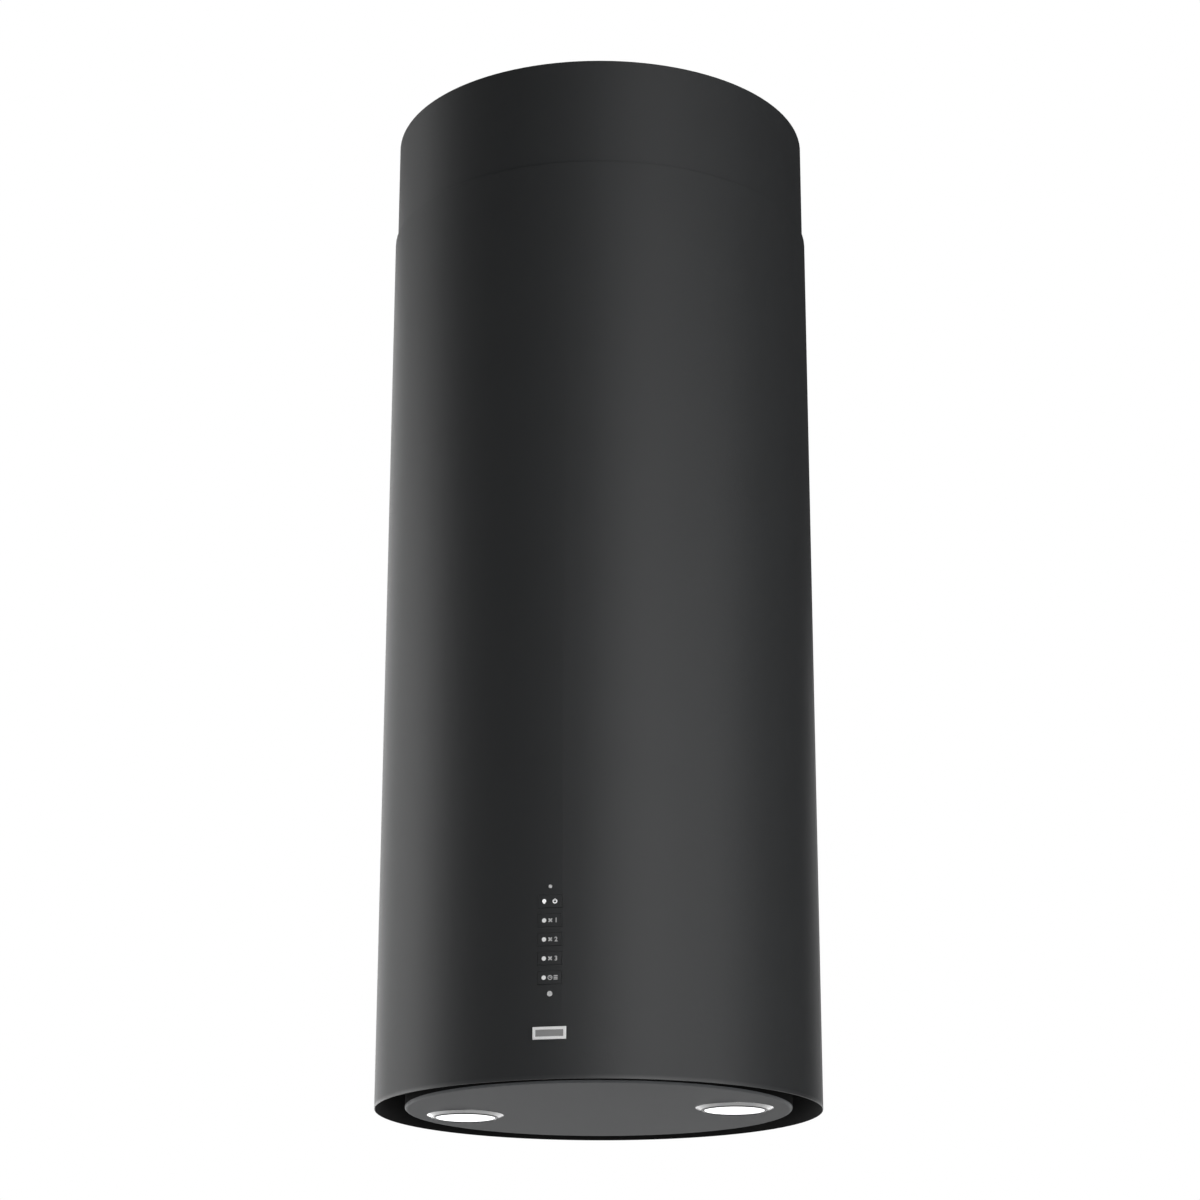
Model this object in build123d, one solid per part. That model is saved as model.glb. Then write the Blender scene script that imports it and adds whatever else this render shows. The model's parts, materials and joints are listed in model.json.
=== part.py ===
from build123d import *
import math
import os

# A round island range hood. Sizes are in millimetres. +Z is up, the front faces -Y and the ceiling is z = 0.
# Heights ("_H" places) are measured up from the rim of the lower tube; up() turns them into z.

# Tubes and height adjustment
TUBE_D = 370.0
TUBE_WALL = 1.0
LOWER_TUBE_H = 775.0
UPPER_SHOWN = 97.0
SLIDE_GAP = 1.0
DROP_TRAVEL = 200.0
TOP_REVEAL = 20.0
TUBE_OVERLAP = 60.0
CEILING_GAP = 1.0
EDGE_ROUND = 0.3

# Sheet, clearances and fasteners
SHEET = 1.5
TRAY_SHEET = 1.2
FIT_GAP = 0.3
RUN_GAP = 0.05
SCREW_R = 1.95
SCREW_LEN = 8.0
SCREW_HEAD_R = 3.6
SCREW_HEAD_T = 2.4
TAPPED_GAP = 0.05
CLEAR_GAP = 0.25
FOOT_SCREW_R = 2.45
FOOT_HEAD_R = 4.6
FOOT_HEAD_T = 3.0
CLAMP_R = 3.0
HEX_R = 5.5
BOLT_HEAD_T = 4.0
NUT_T = 5.0
RIVET_R = 1.6
RIVET_HEAD_R = 3.0
RIVET_HEAD_T = 1.0

# Ceiling plate and duct
DUCT_D = 150.0
DUCT_HOLE_GAP = 20.0
DUCT_NECK_H = 8.0
PLATE_RIM_H = 20.0
BOLT_CIRCLE_D = 300.0
BOLT_HOLE_D = 8.5
TUBE_SCREW_ANGLE = 110.0

# Telescopic frame
UPRIGHT_LEG = 25.0
UPRIGHT_SIDE = 17.0
FRAME_TOP_GAP = 15.0
CLAMP_FROM_TOP = 30.0
SLOT_END = 40.0
SLOT_GAP = 0.3
BEND_R = 1.5

# Panel, hinge and catches
SLOT_W = 25.0
PANEL_RECESS = 0.5
TRAY_DEPTH = 18.0
TRAY_ROUND = 2.0
HINGE_X = 70.0
HINGE_SETBACK = 2.5
HINGE_RISE = 6.0
HINGE_DROP = 46.3
HINGE_EYE_R = 5.0
HINGE_PIN_R = 2.5
HINGE_ARM_T = 2.0
HINGE_FOOT = 34.0
HINGE_FOOT_W = 14.0
HINGE_BRACKET_DEPTH = 10.6
HINGE_NOTCH = 3.0
HINGE_FLANGE = 14.0
PIN_HEAD_R = 4.0
CATCH_X = 60.0
CATCH_W = 18.0
CATCH_DEPTH = 14.0
CATCH_INSET = 23.0
MAGNET_T = 8.0
MAGNET_RISE = 1.5

# Lamps
LAMP_INSET = 46.5
LAMP_HOLE_R = 28.0
BEZEL_R = 32.0
BEZEL_DROP = 3.1
BEZEL_LIP = 0.5
SLEEVE_T = 1.6
SLEEVE_TOP_H = 14.0
LENS_LEDGE = 1.2
LENS_T = 2.0
LENS_DOME = 0.4
SINK_TOP_H = 30.0
SINK_BASE_H = 15.5
SINK_FIN_T = 1.6
SINK_FINS = 7
CLIP_W = 8.0
CLIP_T = 0.6
CLIP_REACH = 7.0

# Filter
FILTER_CLEAR = 8.0
FILTER_SIDE_GAP = 27.0
FILTER_T = 9.0
FILTER_BAR = 14.0
FILTER_LIP = 6.0
MESH_T = 1.0
MESH_HOLE_W = 17.0
MESH_HOLE_D = 9.0
MESH_STRAND = 2.0
MESH_SEAT = 4.0
MESH_RISE = 6.2
LATCH_TRAVEL = 6.0
LATCH_W = 43.0
LATCH_DEPTH = 5.4
LATCH_T = 3.6
LATCH_FLOOR = 1.0
BOLT_W = 14.0
BOLT_REACH = 4.5
GRIP_W = 24.0
GRIP_T = 2.5
GRIP_DROP = 3.0
HOOK_X = 40.0
HOOK_W = 16.0
HOOK_FLANGE = 11.0
HOOK_REACH = 6.0

# Deck
DECK_RIM_H = 14.0
TAB_L = 16.0
TAB_W = 24.0
TAB_SCREW_IN = 10.0

# Controls
KEY_COUNT = 5
KEY_PITCH = 15.0
KEY_W = 19.0
KEY_H = 10.0
KEY_GAP = 0.2
KEY_PROUD = 0.3
KEY_ROUND = 0.25
KEY_FLANGE = 1.2
KEY_FLANGE_T = 1.2
KEY_TRAVEL = 0.8
KEY_STOP_GAP = 0.1
STEM_W = 4.0
SENSOR_RISE = 10.7
SENSOR_TO_KEY = 12.5
KEY_TO_STATUS = 12.0
STATUS_R = 1.4
SENSOR_R = 2.1
LENS_PROUD = 0.2
CONTROL_W = 36.0
CONTROL_DROP = 7.7
CONTROL_TOP = 7.6
FRAME_WEB = 5.3
SWITCH_W = 6.0
SWITCH_T = 4.0
LED_W = 4.0
LED_T = 1.5
BOARD_T = 1.6
COVER_DEPTH = 14.0
COVER_WALL = 1.6
BOSS_R = 3.2
STUD_R = 1.5
STUD_X = 14.5
STUD_INSET = 10.0
STUD_PAST = 3.5
STUD_NUT_R = 3.0
STUD_NUT_T = 2.4

# Small plate on the front
BADGE_W = 26.6
BADGE_HIGH = 9.7
BADGE_T = 0.8
BADGE_H = 35.4
BADGE_ROUND = 0.8
GLUE_GAP = 0.05

# Blower
PLENUM_H = 50.0
SCROLL_SIDE = 24.0
SCROLL_WALL = 2.5
SCROLL_TUBE_GAP = 19.0
SCROLL_STEP = 11.0
THROAT_RISE = 111.0
THROAT_NARROWING = 20.0
LIP_W = 8.0
LIP_T = 3.0
FLANGE_W = 14.0
FLANGE_SCREW_Y = 60.0
CUTOFF_GAP = 10.0
BLADE_DEPTH = 13.0
BLADE_COUNT = 36
BLADE_TURN = 1.2
BLADE_SWEEP = 6.0
BLADE_BELLY = 1.4
RING_T = 3.0
RING_OVER = 0.4
DISC_T = 2.5
IMPELLER_END_GAP = 18.0
HUB_R = 9.0
HUB_BACK = 12.0
HUB_FRONT = 4.0
INLET_STEP = 4.0
BELL_R = 15.5
SHAFT_R = 4.0
SHAFT_PAST = 8.0
MOTOR_AIR_WAY = 19.0
MOTOR_BACK = 8.0
MOTOR_ROUND = 6.0
MOTOR_VENTS = 12
VENT_W = 4.0
VENT_DEPTH = 5.0
VENT_LEN = 30.0
BRACKET_T = 3.0
BRACKET_ARM_W = 16.0
BRACKET_REACH = 11.0
BRACKET_SCREW_STEP = 5.5
MOTOR_SCREW_IN = 8.0

# Outlet collar and damper
PLATE_TAB_H = 24.0
PLATE_RIVET_DROP = 14.0
OUTLET_STEP = 5.0
COLLAR_GAP = 0.5
COLLAR_WALL = 2.0
COLLAR_H = 60.0
COLLAR_FLANGE = 12.0
COLLAR_FLANGE_T = 2.5
COLLAR_SCREW_IN = 5.5
DAMPER_RISE = 18.0
DAMPER_PIN_R = 2.0
FLAP_T = 1.5
FLAP_GAP = 0.6
FLAP_EDGE_X = 4.5
BARREL_R = 3.6
BARREL_INNER = 4.0
BARREL_LEN = 22.0
BARREL_STEP = 14.0
SEAT_W = 3.0
SEAT_T = 2.0
SEAT_GAP = 0.2

# Electronics
CARRIER_RISE = 40.0
CARRIER_H = 130.0
CARRIER_SCREW_IN = 14.0
BOX_X = -14.0
BOX_W = 84.0
BOX_HIGH = 110.0
BOX_DEPTH = 38.0
BOX_WALL = 2.0
LID_T = 2.0
LID_ROUND = 4.0
CAPACITOR_X = 52.0
CAPACITOR_R = 15.0
CAPACITOR_LEN = 58.0
CAPACITOR_RISE = 24.0
CLIP_BAND_T = 1.0
CLIP_BAND_H = 14.0
GLAND_R = 9.0
GLAND_HEX_R = 12.0
GLAND_HEX_T = 6.0
GLAND_H = 20.0
GLAND_BORE_R = 4.0
LEAD_R = 2.5
LEAD_BEND_R = 9.0
LEAD_X = 26.0
MOTOR_LEAD_DROP = 14.0

# Sizes that follow from the ones above
TUBE_R = TUBE_D / 2
TUBE_IN_R = TUBE_R - TUBE_WALL
UPPER_R = TUBE_IN_R - SLIDE_GAP
UPPER_IN_R = UPPER_R - TUBE_WALL
TOTAL_H = LOWER_TUBE_H + UPPER_SHOWN
RIM_Z = -TOTAL_H
RAISE_TRAVEL = UPPER_SHOWN - TOP_REVEAL
UPPER_TUBE_LEN = UPPER_SHOWN + DROP_TRAVEL + TUBE_OVERLAP
TAPPED_R = SCREW_R + TAPPED_GAP
CLEAR_R = SCREW_R + CLEAR_GAP
FOOT_HOLE_R = FOOT_SCREW_R + TAPPED_GAP
DUCT_HOLE_R = (DUCT_D + DUCT_HOLE_GAP) / 2
CEILING_PLATE_R = UPPER_IN_R - FIT_GAP

PANEL_R = TUBE_R - SLOT_W
TRAY_FLOOR_H = PANEL_RECESS + TRAY_SHEET
TRAY_TOP_H = PANEL_RECESS + TRAY_DEPTH
HINGE_Y = math.sqrt((PANEL_R - TRAY_SHEET) ** 2 - HINGE_X**2) - HINGE_SETBACK
HINGE_H = TRAY_FLOOR_H + HINGE_RISE
DECK_H = HINGE_H + HINGE_DROP
DECK_TOP_H = DECK_H + TRAY_SHEET
DECK_R = TUBE_IN_R - FIT_GAP
CATCH_Y = math.sqrt(PANEL_R**2 - CATCH_X**2) - CATCH_INSET
MAGNET_H = TRAY_TOP_H + MAGNET_RISE
LAMP_X = PANEL_R - LAMP_INSET
SLEEVE_R = LAMP_HOLE_R - FIT_GAP
SLEEVE_IN_R = SLEEVE_R - SLEEVE_T
BEZEL_BOTTOM_H = PANEL_RECESS - BEZEL_DROP
LENS_LEDGE_H = BEZEL_BOTTOM_H + LENS_T
LENS_TOP_H = LENS_LEDGE_H + LENS_T

FILTER_Y = CATCH_Y - CATCH_DEPTH / 2 - FILTER_CLEAR
FILTER_X = math.sqrt(TUBE_IN_R**2 - FILTER_Y**2) - FILTER_SIDE_GAP
FILTER_H = DECK_H - FILTER_T
OPENING_X = FILTER_X - FILTER_LIP
OPENING_Y = FILTER_Y - FILTER_LIP
CHANNEL_H = FILTER_H + LATCH_FLOOR
CHANNEL_FRONT_Y = -(FILTER_Y - SHEET)
CHANNEL_DEPTH = LATCH_DEPTH + LATCH_TRAVEL + 2 * FIT_GAP
LATCH_FRONT_Y = CHANNEL_FRONT_Y + FIT_GAP

UPRIGHT_X = DUCT_D / 2 + UPRIGHT_SIDE
UPRIGHT_Y = OPENING_Y + UPRIGHT_LEG
NEST = SHEET + FIT_GAP
INNER_X = UPRIGHT_X - NEST
INNER_Y = UPRIGHT_Y - NEST
LOWER_UPRIGHT_TOP_H = TOTAL_H - RAISE_TRAVEL - FRAME_TOP_GAP
CLAMP_H = LOWER_UPRIGHT_TOP_H - CLAMP_FROM_TOP
UPPER_UPRIGHT_BOTTOM_H = CLAMP_H - DROP_TRAVEL - SLOT_END
CLAMP_Y = UPRIGHT_Y - UPRIGHT_LEG / 2
FOOT_SCREW_LEN = 2 * SHEET - CLEAR_GAP

SCROLL_Y = UPRIGHT_Y - UPRIGHT_LEG - SCROLL_SIDE
THROAT_W = DUCT_D - THROAT_NARROWING
SCROLL_REACH = math.sqrt(TUBE_IN_R**2 - SCROLL_Y**2) - SCROLL_TUBE_GAP - SCROLL_WALL
SCROLL_R = (THROAT_W / 2 + SCROLL_REACH - 3 * SCROLL_STEP) / 2
THROAT_RIGHT = SCROLL_R + 3 * SCROLL_STEP
THROAT_LEFT = THROAT_RIGHT - THROAT_W
BLOWER_X = THROAT_W / 2 - THROAT_RIGHT
BLOWER_H = DECK_TOP_H + PLENUM_H + SCROLL_WALL + SCROLL_R + SCROLL_STEP
PLATE_H = BLOWER_H + SCROLL_R + THROAT_RISE
PLATE_TOP_H = PLATE_H + SHEET
THROAT_TOP = PLATE_H - BLOWER_H
PLATE_X = INNER_X - NEST
PLATE_Y = INNER_Y - NEST
IMPELLER_R = SCROLL_R - CUTOFF_GAP
IMPELLER_IN_R = IMPELLER_R - BLADE_DEPTH
IMPELLER_HALF = SCROLL_Y - IMPELLER_END_GAP
INLET_R = IMPELLER_IN_R - INLET_STEP
BELL_OUT_R = INLET_R + BELL_R
MOTOR_R = INLET_R - MOTOR_AIR_WAY
BRACKET_SCREW_R = BELL_OUT_R + BRACKET_SCREW_STEP
BRACKET_R = BELL_OUT_R + BRACKET_REACH
MOTOR_SCREW_R = MOTOR_R - MOTOR_SCREW_IN
COLLAR_R = DUCT_D / 2 - COLLAR_GAP
COLLAR_IN_R = COLLAR_R - COLLAR_WALL
COLLAR_FLANGE_R = DUCT_D / 2 + COLLAR_FLANGE
DAMPER_H = PLATE_TOP_H + DAMPER_RISE
FLAP_R = COLLAR_IN_R - FLAP_GAP

SENSOR_H = DECK_TOP_H + SENSOR_RISE
LOWEST_KEY_H = SENSOR_H + SENSOR_TO_KEY
KEY_ROWS = [LOWEST_KEY_H + row * KEY_PITCH for row in range(KEY_COUNT)]
STATUS_H = KEY_ROWS[-1] + KEY_TO_STATUS
CONTROL_LOW_H = SENSOR_H - CONTROL_DROP
CONTROL_HIGH_H = STATUS_H + CONTROL_TOP
FLANGE_HALF_W = KEY_W / 2 + KEY_FLANGE
FLANGE_HALF_H = KEY_H / 2 + KEY_FLANGE
FLANGE_FRONT_Y = -(math.sqrt(TUBE_IN_R**2 - FLANGE_HALF_W**2) - FIT_GAP)
FLANGE_BACK_Y = FLANGE_FRONT_Y + KEY_FLANGE_T
KEY_STROKE = KEY_TRAVEL + KEY_STOP_GAP
POCKET_Y = FLANGE_BACK_Y + KEY_STROKE
FRAME_FRONT_Y = -(math.sqrt(TUBE_IN_R**2 - (CONTROL_W / 2) ** 2) - FIT_GAP)
FRAME_BACK_Y = POCKET_Y + FRAME_WEB
STEM_END_Y = FRAME_BACK_Y - SWITCH_T - KEY_STROKE
COVER_FRONT_Y = FRAME_BACK_Y + BOARD_T
COVER_BACK_Y = COVER_FRONT_Y + COVER_DEPTH
STUD_HEIGHTS = [CONTROL_LOW_H + STUD_INSET, CONTROL_HIGH_H - STUD_INSET]

CARRIER_LOW_H = BLOWER_H + CARRIER_RISE
CARRIER_HIGH_H = CARRIER_LOW_H + CARRIER_H
CARRIER_X = INNER_X - CLEAR_GAP
CARRIER_FRONT_Y = -(INNER_Y + TRAY_SHEET)
CARRIER_SCREW_X = INNER_X - UPRIGHT_LEG / 2
BOX_LOW_H = CARRIER_LOW_H + (CARRIER_H - BOX_HIGH) / 2
BOX_FRONT_Y = CARRIER_FRONT_Y - BOX_DEPTH
BOX_MID_Y = CARRIER_FRONT_Y - BOX_DEPTH / 2

UP = (0, 0, 1)
DOWN = (0, 0, -1)
BACK = (0, 1, 0)
FRONT = (0, -1, 0)
RIGHT = (1, 0, 0)
LEFT = (-1, 0, 0)
BASE = (Align.CENTER, Align.CENTER, Align.MIN)


def up(height):
    """The z of a height above the rim."""
    return RIM_Z + height


def block(x, y, z):
    """A box between two bounds on each axis."""
    size = [abs(b - a) for a, b in (x, y, z)]
    middle = [(a + b) / 2 for a, b in (x, y, z)]
    return Pos(*middle) * Box(*size)


def rod(radius, start, direction, length):
    """A round bar that starts at a point and runs along a direction."""
    return Plane(origin=start, z_dir=direction) * Cylinder(radius, length, align=BASE)


def hole(radius, middle, direction, depth):
    """A round cutter centred on a point."""
    return Plane(origin=middle, z_dir=direction) * Cylinder(radius, depth)


def turned(points, radii=None):
    """A body of revolution about Z from a closed outline of (radius, z) points."""
    outline = FilletPolyline(*points, radius=radii, close=True) if radii else Polyline(*points, close=True)
    return revolve(Plane.XZ * make_face(outline), Axis.Z)


def bent_strip(points, width):
    """A folded sheet strip: a closed (y, z) outline given a width along X, centred on x = 0."""
    outline = make_face(Polyline(*points, close=True))
    return extrude(Plane.YZ * outline, width / 2, both=True)


def z_bracket(top, leg, bottom, sheet, z_high, z_low, width):
    """A Z-shaped sheet bracket: a flange at the top, a leg at y = leg, a flange at the bottom."""
    step = math.copysign(sheet, top - leg)
    points = [
        (top, z_high),
        (leg - step, z_high),
        (leg - step, z_low + sheet),
        (bottom, z_low + sheet),
        (bottom, z_low),
        (leg, z_low),
        (leg, z_high - sheet),
        (top, z_high - sheet),
    ]
    return bent_strip(points, width)


def left_and_right(piece):
    """The piece and its mirror image across the middle plane."""
    return [piece, mirror(piece, about=Plane.YZ)]


def four_corners(piece):
    """A piece of the back right corner, repeated in all four corners."""
    sides = left_and_right(piece)
    return sides + [mirror(side, about=Plane.XZ) for side in sides]


def pan_screw(seat, direction):
    """An M4 pan-head screw whose head rests on the seat point; the shank runs along the direction."""
    shank = rod(SCREW_R, seat, direction, SCREW_LEN)
    back = [-value for value in direction]
    head = rod(SCREW_HEAD_R, seat, back, SCREW_HEAD_T)
    far_edge = head.edges().filter_by(GeomType.CIRCLE).sort_by(Axis(seat, back))[-1]
    return fillet(far_edge, SCREW_HEAD_T / 2) + shank


def foot_screw(seat, direction):
    """An M5 screw for the feet of the uprights; it ends just inside the second sheet."""
    back = [-value for value in direction]
    return rod(FOOT_HEAD_R, seat, back, FOOT_HEAD_T) + rod(FOOT_SCREW_R, seat, direction, FOOT_SCREW_LEN)


def hexagon(radius, start, direction, length):
    """A hexagonal prism that starts at a point and runs along a direction."""
    return extrude(Plane(origin=start, z_dir=direction) * RegularPolygon(radius, 6), length)


def round_shell(outer, inner, low, high):
    """A vertical tube with slightly rounded edges."""
    corners = [(inner, low), (outer, low), (outer, high), (inner, high)]
    return turned(corners, [EDGE_ROUND] * len(corners))


def around_z(radius, angle, z):
    """A point on a circle about Z; angle 0 is the front and 90 the right."""
    turn = math.radians(angle)
    return (radius * math.sin(turn), -radius * math.cos(turn), z)


def outward(angle):
    """The direction away from the Z axis at an angle."""
    return around_z(1.0, angle, 0.0)


# Tubes


def key_opening(height):
    """The cutter for one key in the lower tube."""
    width = KEY_W + 2 * KEY_GAP
    high = KEY_H + 2 * KEY_GAP
    outline = RectangleRounded(width, high, KEY_ROUND + KEY_GAP)
    plane = Plane(origin=(0, -TUBE_R, up(height)), x_dir=RIGHT, z_dir=FRONT)
    return extrude(plane * outline, TUBE_D / 8, both=True)


def tube_tab(angle):
    """A tab welded inside the lower tube, under the deck, with its screw hole."""
    length = TAB_L + TUBE_WALL / 2
    inner = TUBE_IN_R - TAB_L
    bar = Pos(inner + TAB_L, 0, up(DECK_H) - SHEET / 2) * Box(2 * length, TAB_W, SHEET)
    tab = Rot(0, 0, angle - 90) * bar
    ring = Pos(0, 0, up(DECK_H)) * Cylinder(TUBE_IN_R + TUBE_WALL / 2, DECK_H)
    screw = around_z(TUBE_IN_R - TAB_SCREW_IN, angle, up(DECK_H))
    return tab & ring - hole(CLEAR_R, screw, UP, DECK_H / 2)


def control_studs():
    """Four threaded studs welded inside the tube for the control stack."""
    start = -(math.sqrt(TUBE_IN_R**2 - STUD_X**2) + TUBE_WALL / 2)
    length = COVER_BACK_Y + STUD_NUT_T + STUD_PAST - start
    return [rod(STUD_R, (x, start, z), BACK, length) for x, z in stud_points()]


def stud_points():
    """The x and z of the four studs."""
    return [(x, up(height)) for x in (-STUD_X, STUD_X) for height in STUD_HEIGHTS]


TAB_ANGLES = [45, 135, 225, 315]


def lower_tube():
    tube = round_shell(TUBE_R, TUBE_IN_R, up(0), up(LOWER_TUBE_H))
    for height in KEY_ROWS:
        tube -= key_opening(height)
    for height, radius in ((STATUS_H, STATUS_R), (SENSOR_H, SENSOR_R)):
        tube -= hole(radius + KEY_GAP, (0, -TUBE_R, up(height)), FRONT, TUBE_R / 4)
    for angle in TAB_ANGLES:
        tube += tube_tab(angle)
    for stud in control_studs():
        tube += stud
    return tube


def upper_tube():
    tube = round_shell(UPPER_R, UPPER_IN_R, -UPPER_TUBE_LEN, -CEILING_GAP)
    for side in (-1, 1):
        angle = side * TUBE_SCREW_ANGLE
        tube -= hole(CLEAR_R, around_z(UPPER_R, angle, -PLATE_RIM_H / 2), outward(angle), SCREW_LEN)
    return tube


def upper_tube_screws():
    screws = []
    for side in (-1, 1):
        angle = side * TUBE_SCREW_ANGLE
        inward = [-value for value in outward(angle)]
        screws.append(pan_screw(around_z(UPPER_R, angle, -PLATE_RIM_H / 2), inward))
    return screws


# Ceiling plate and telescopic frame


def ceiling_plate():
    rim_in = CEILING_PLATE_R - SHEET
    neck_out = DUCT_HOLE_R + SHEET
    outline = [
        (DUCT_HOLE_R, 0),
        (CEILING_PLATE_R, 0),
        (CEILING_PLATE_R, -PLATE_RIM_H),
        (rim_in, -PLATE_RIM_H),
        (rim_in, -SHEET),
        (neck_out, -SHEET),
        (neck_out, -DUCT_NECK_H),
        (DUCT_HOLE_R, -DUCT_NECK_H),
    ]
    plate = turned(outline, [0, 2 * BEND_R, 0, 0, BEND_R, BEND_R, 0, 0])
    for angle in (0, 90, 180, 270):
        plate -= hole(BOLT_HOLE_D / 2, around_z(BOLT_CIRCLE_D / 2, angle, 0), UP, PLATE_RIM_H / 2)
    for side in (-1, 1):
        angle = side * TUBE_SCREW_ANGLE
        plate -= hole(TAPPED_R, around_z(CEILING_PLATE_R, angle, -PLATE_RIM_H / 2), outward(angle), SCREW_LEN)
    foot_hole = hole(FOOT_HOLE_R, (*foot_point(UPRIGHT_X, UPRIGHT_Y), 0), UP, PLATE_RIM_H / 2)
    for cutter in four_corners(foot_hole):
        plate -= cutter
    return plate


def foot_point(corner_x, corner_y):
    """The x and y of the screw in an upright's foot."""
    return (corner_x - UPRIGHT_LEG / 2, corner_y - UPRIGHT_LEG / 2)


def angle_bar(corner_x, corner_y, low, high):
    """An L-section upright of the back right corner."""
    outline = [
        (corner_x, corner_y),
        (corner_x - UPRIGHT_LEG, corner_y),
        (corner_x - UPRIGHT_LEG, corner_y - SHEET),
        (corner_x - SHEET, corner_y - SHEET),
        (corner_x - SHEET, corner_y - UPRIGHT_LEG),
        (corner_x, corner_y - UPRIGHT_LEG),
    ]
    section = make_face(FilletPolyline(*outline, radius=[BEND_R, 0, 0, 0, 0, 0], close=True))
    return extrude(Pos(0, 0, low) * section, high - low)


def upright_foot(corner_x, corner_y, low):
    """The flat foot bent across the end of an upright, with its screw hole."""
    wide = (corner_x - UPRIGHT_LEG, corner_x - SHEET / 2)
    deep = (corner_y - UPRIGHT_LEG, corner_y - SHEET / 2)
    foot = block(wide, deep, (low, low + SHEET))
    return foot - hole(FOOT_HOLE_R, (*foot_point(corner_x, corner_y), low), UP, UPRIGHT_LEG)


def upper_upright():
    bar = angle_bar(UPRIGHT_X, UPRIGHT_Y, up(UPPER_UPRIGHT_BOTTOM_H), -SHEET)
    slot_low = CLAMP_H - DROP_TRAVEL
    slot_high = CLAMP_H + RAISE_TRAVEL
    slot_width = 2 * (CLAMP_R + SLOT_GAP)
    middle = (UPRIGHT_X, CLAMP_Y, up((slot_low + slot_high) / 2))
    plane = Plane(origin=middle, x_dir=UP, z_dir=RIGHT)
    slot = SlotCenterToCenter(slot_high - slot_low, slot_width)
    bar -= extrude(plane * slot, UPRIGHT_LEG / 4, both=True)
    return bar + upright_foot(UPRIGHT_X, UPRIGHT_Y, -2 * SHEET)


def lower_upright():
    bar = angle_bar(INNER_X, INNER_Y, up(DECK_TOP_H), up(LOWER_UPRIGHT_TOP_H))
    bar -= hole(CLAMP_R + TAPPED_GAP, (INNER_X, CLAMP_Y, up(CLAMP_H)), RIGHT, UPRIGHT_LEG / 2)
    bar -= hole(RIVET_R + TAPPED_GAP, (INNER_X, plate_rivet_y(), plate_rivet_z()), RIGHT, UPRIGHT_LEG / 2)
    return bar + upright_foot(INNER_X, INNER_Y, up(DECK_TOP_H))


def front_lower_upright():
    """A lower upright of the front, with the two tapped holes of the electronics carrier."""
    bar = mirror(lower_upright(), about=Plane.XZ)
    for height in carrier_screw_heights():
        bar -= hole(TAPPED_R, (CARRIER_SCREW_X, -INNER_Y, up(height)), BACK, UPRIGHT_LEG / 2)
    return bar


def clamp_bolt():
    head = UPRIGHT_X + CLEAR_GAP
    start = (head, CLAMP_Y, up(CLAMP_H))
    length = head - INNER_X + SHEET + NUT_T + SHEET
    return hexagon(HEX_R, start, RIGHT, BOLT_HEAD_T) + rod(CLAMP_R, start, LEFT, length)


def clamp_nut():
    start = (INNER_X - SHEET, CLAMP_Y, up(CLAMP_H))
    return hexagon(HEX_R, start, LEFT, NUT_T) - hole(CLAMP_R + TAPPED_GAP, start, LEFT, 4 * NUT_T)


def ceiling_foot_screws():
    seat = (*foot_point(UPRIGHT_X, UPRIGHT_Y), -2 * SHEET)
    return four_corners(foot_screw(seat, UP))


def deck_foot_screws():
    seat = (*foot_point(INNER_X, INNER_Y), up(DECK_TOP_H) + SHEET)
    return four_corners(foot_screw(seat, DOWN))


# Deck and filter


def filter_deck():
    outline = [
        (0, up(DECK_H)),
        (DECK_R, up(DECK_H)),
        (DECK_R, up(DECK_H) + DECK_RIM_H),
        (DECK_R - TRAY_SHEET, up(DECK_H) + DECK_RIM_H),
        (DECK_R - TRAY_SHEET, up(DECK_TOP_H)),
        (0, up(DECK_TOP_H)),
    ]
    deck = turned(outline, [0, BEND_R, 0, 0, EDGE_ROUND, 0])
    opening = RectangleRounded(2 * OPENING_X, 2 * OPENING_Y, FILTER_LIP)
    deck -= extrude(Pos(0, 0, up(DECK_H)) * opening, DECK_RIM_H, both=True)
    front_gap = CONTROL_W / 2 + 2 * SHEET
    rim_high = (up(DECK_TOP_H), up(DECK_H + 2 * DECK_RIM_H))
    deck -= block((-front_gap, front_gap), (-TUBE_R, COVER_BACK_Y), rim_high)
    for seat, _ in deck_screws():
        deck -= hole(TAPPED_R, seat, UP, DECK_RIM_H)
    foot_hole = hole(FOOT_HOLE_R, (*foot_point(INNER_X, INNER_Y), up(DECK_H)), UP, DECK_RIM_H)
    for cutter in four_corners(foot_hole):
        deck -= cutter
    return deck


def deck_screws():
    """Pairs of a point on the deck's lower face and the thickness of the sheet held there by a screw."""
    z = up(DECK_H)
    tabs = [(around_z(TUBE_IN_R - TAB_SCREW_IN, angle, z), SHEET) for angle in TAB_ANGLES]
    hinges = [((side * hinge_screw_x(), HINGE_Y, z), SHEET) for side in (-1, 1)]
    catches = [((side * CATCH_X, -catch_flange_y(), z), SHEET) for side in (-1, 1)]
    hooks = [((side * HOOK_X, hook_flange_y(), z), TRAY_SHEET) for side in (-1, 1)]
    keeper = [((0, -keeper_flange_y(), z), TRAY_SHEET)]
    return tabs + hinges + catches + hooks + keeper


def hinge_screw_x():
    """The x of a hinge bracket's screw, beside the arm on the inner side."""
    return HINGE_X - hinge_cheek_out() - HINGE_FLANGE / 2


def hinge_cheek_out():
    """How far the outer face of a hinge cheek stands from the arm's middle."""
    return HINGE_ARM_T / 2 + FIT_GAP + SHEET


def catch_flange_y():
    return CATCH_Y + CATCH_DEPTH


def hook_flange_y():
    return FILTER_Y + CLEAR_GAP + TRAY_SHEET + HOOK_FLANGE / 2


def keeper_flange_y():
    return FILTER_Y + BOLT_REACH + 2 * SHEET + HOOK_FLANGE / 2


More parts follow.
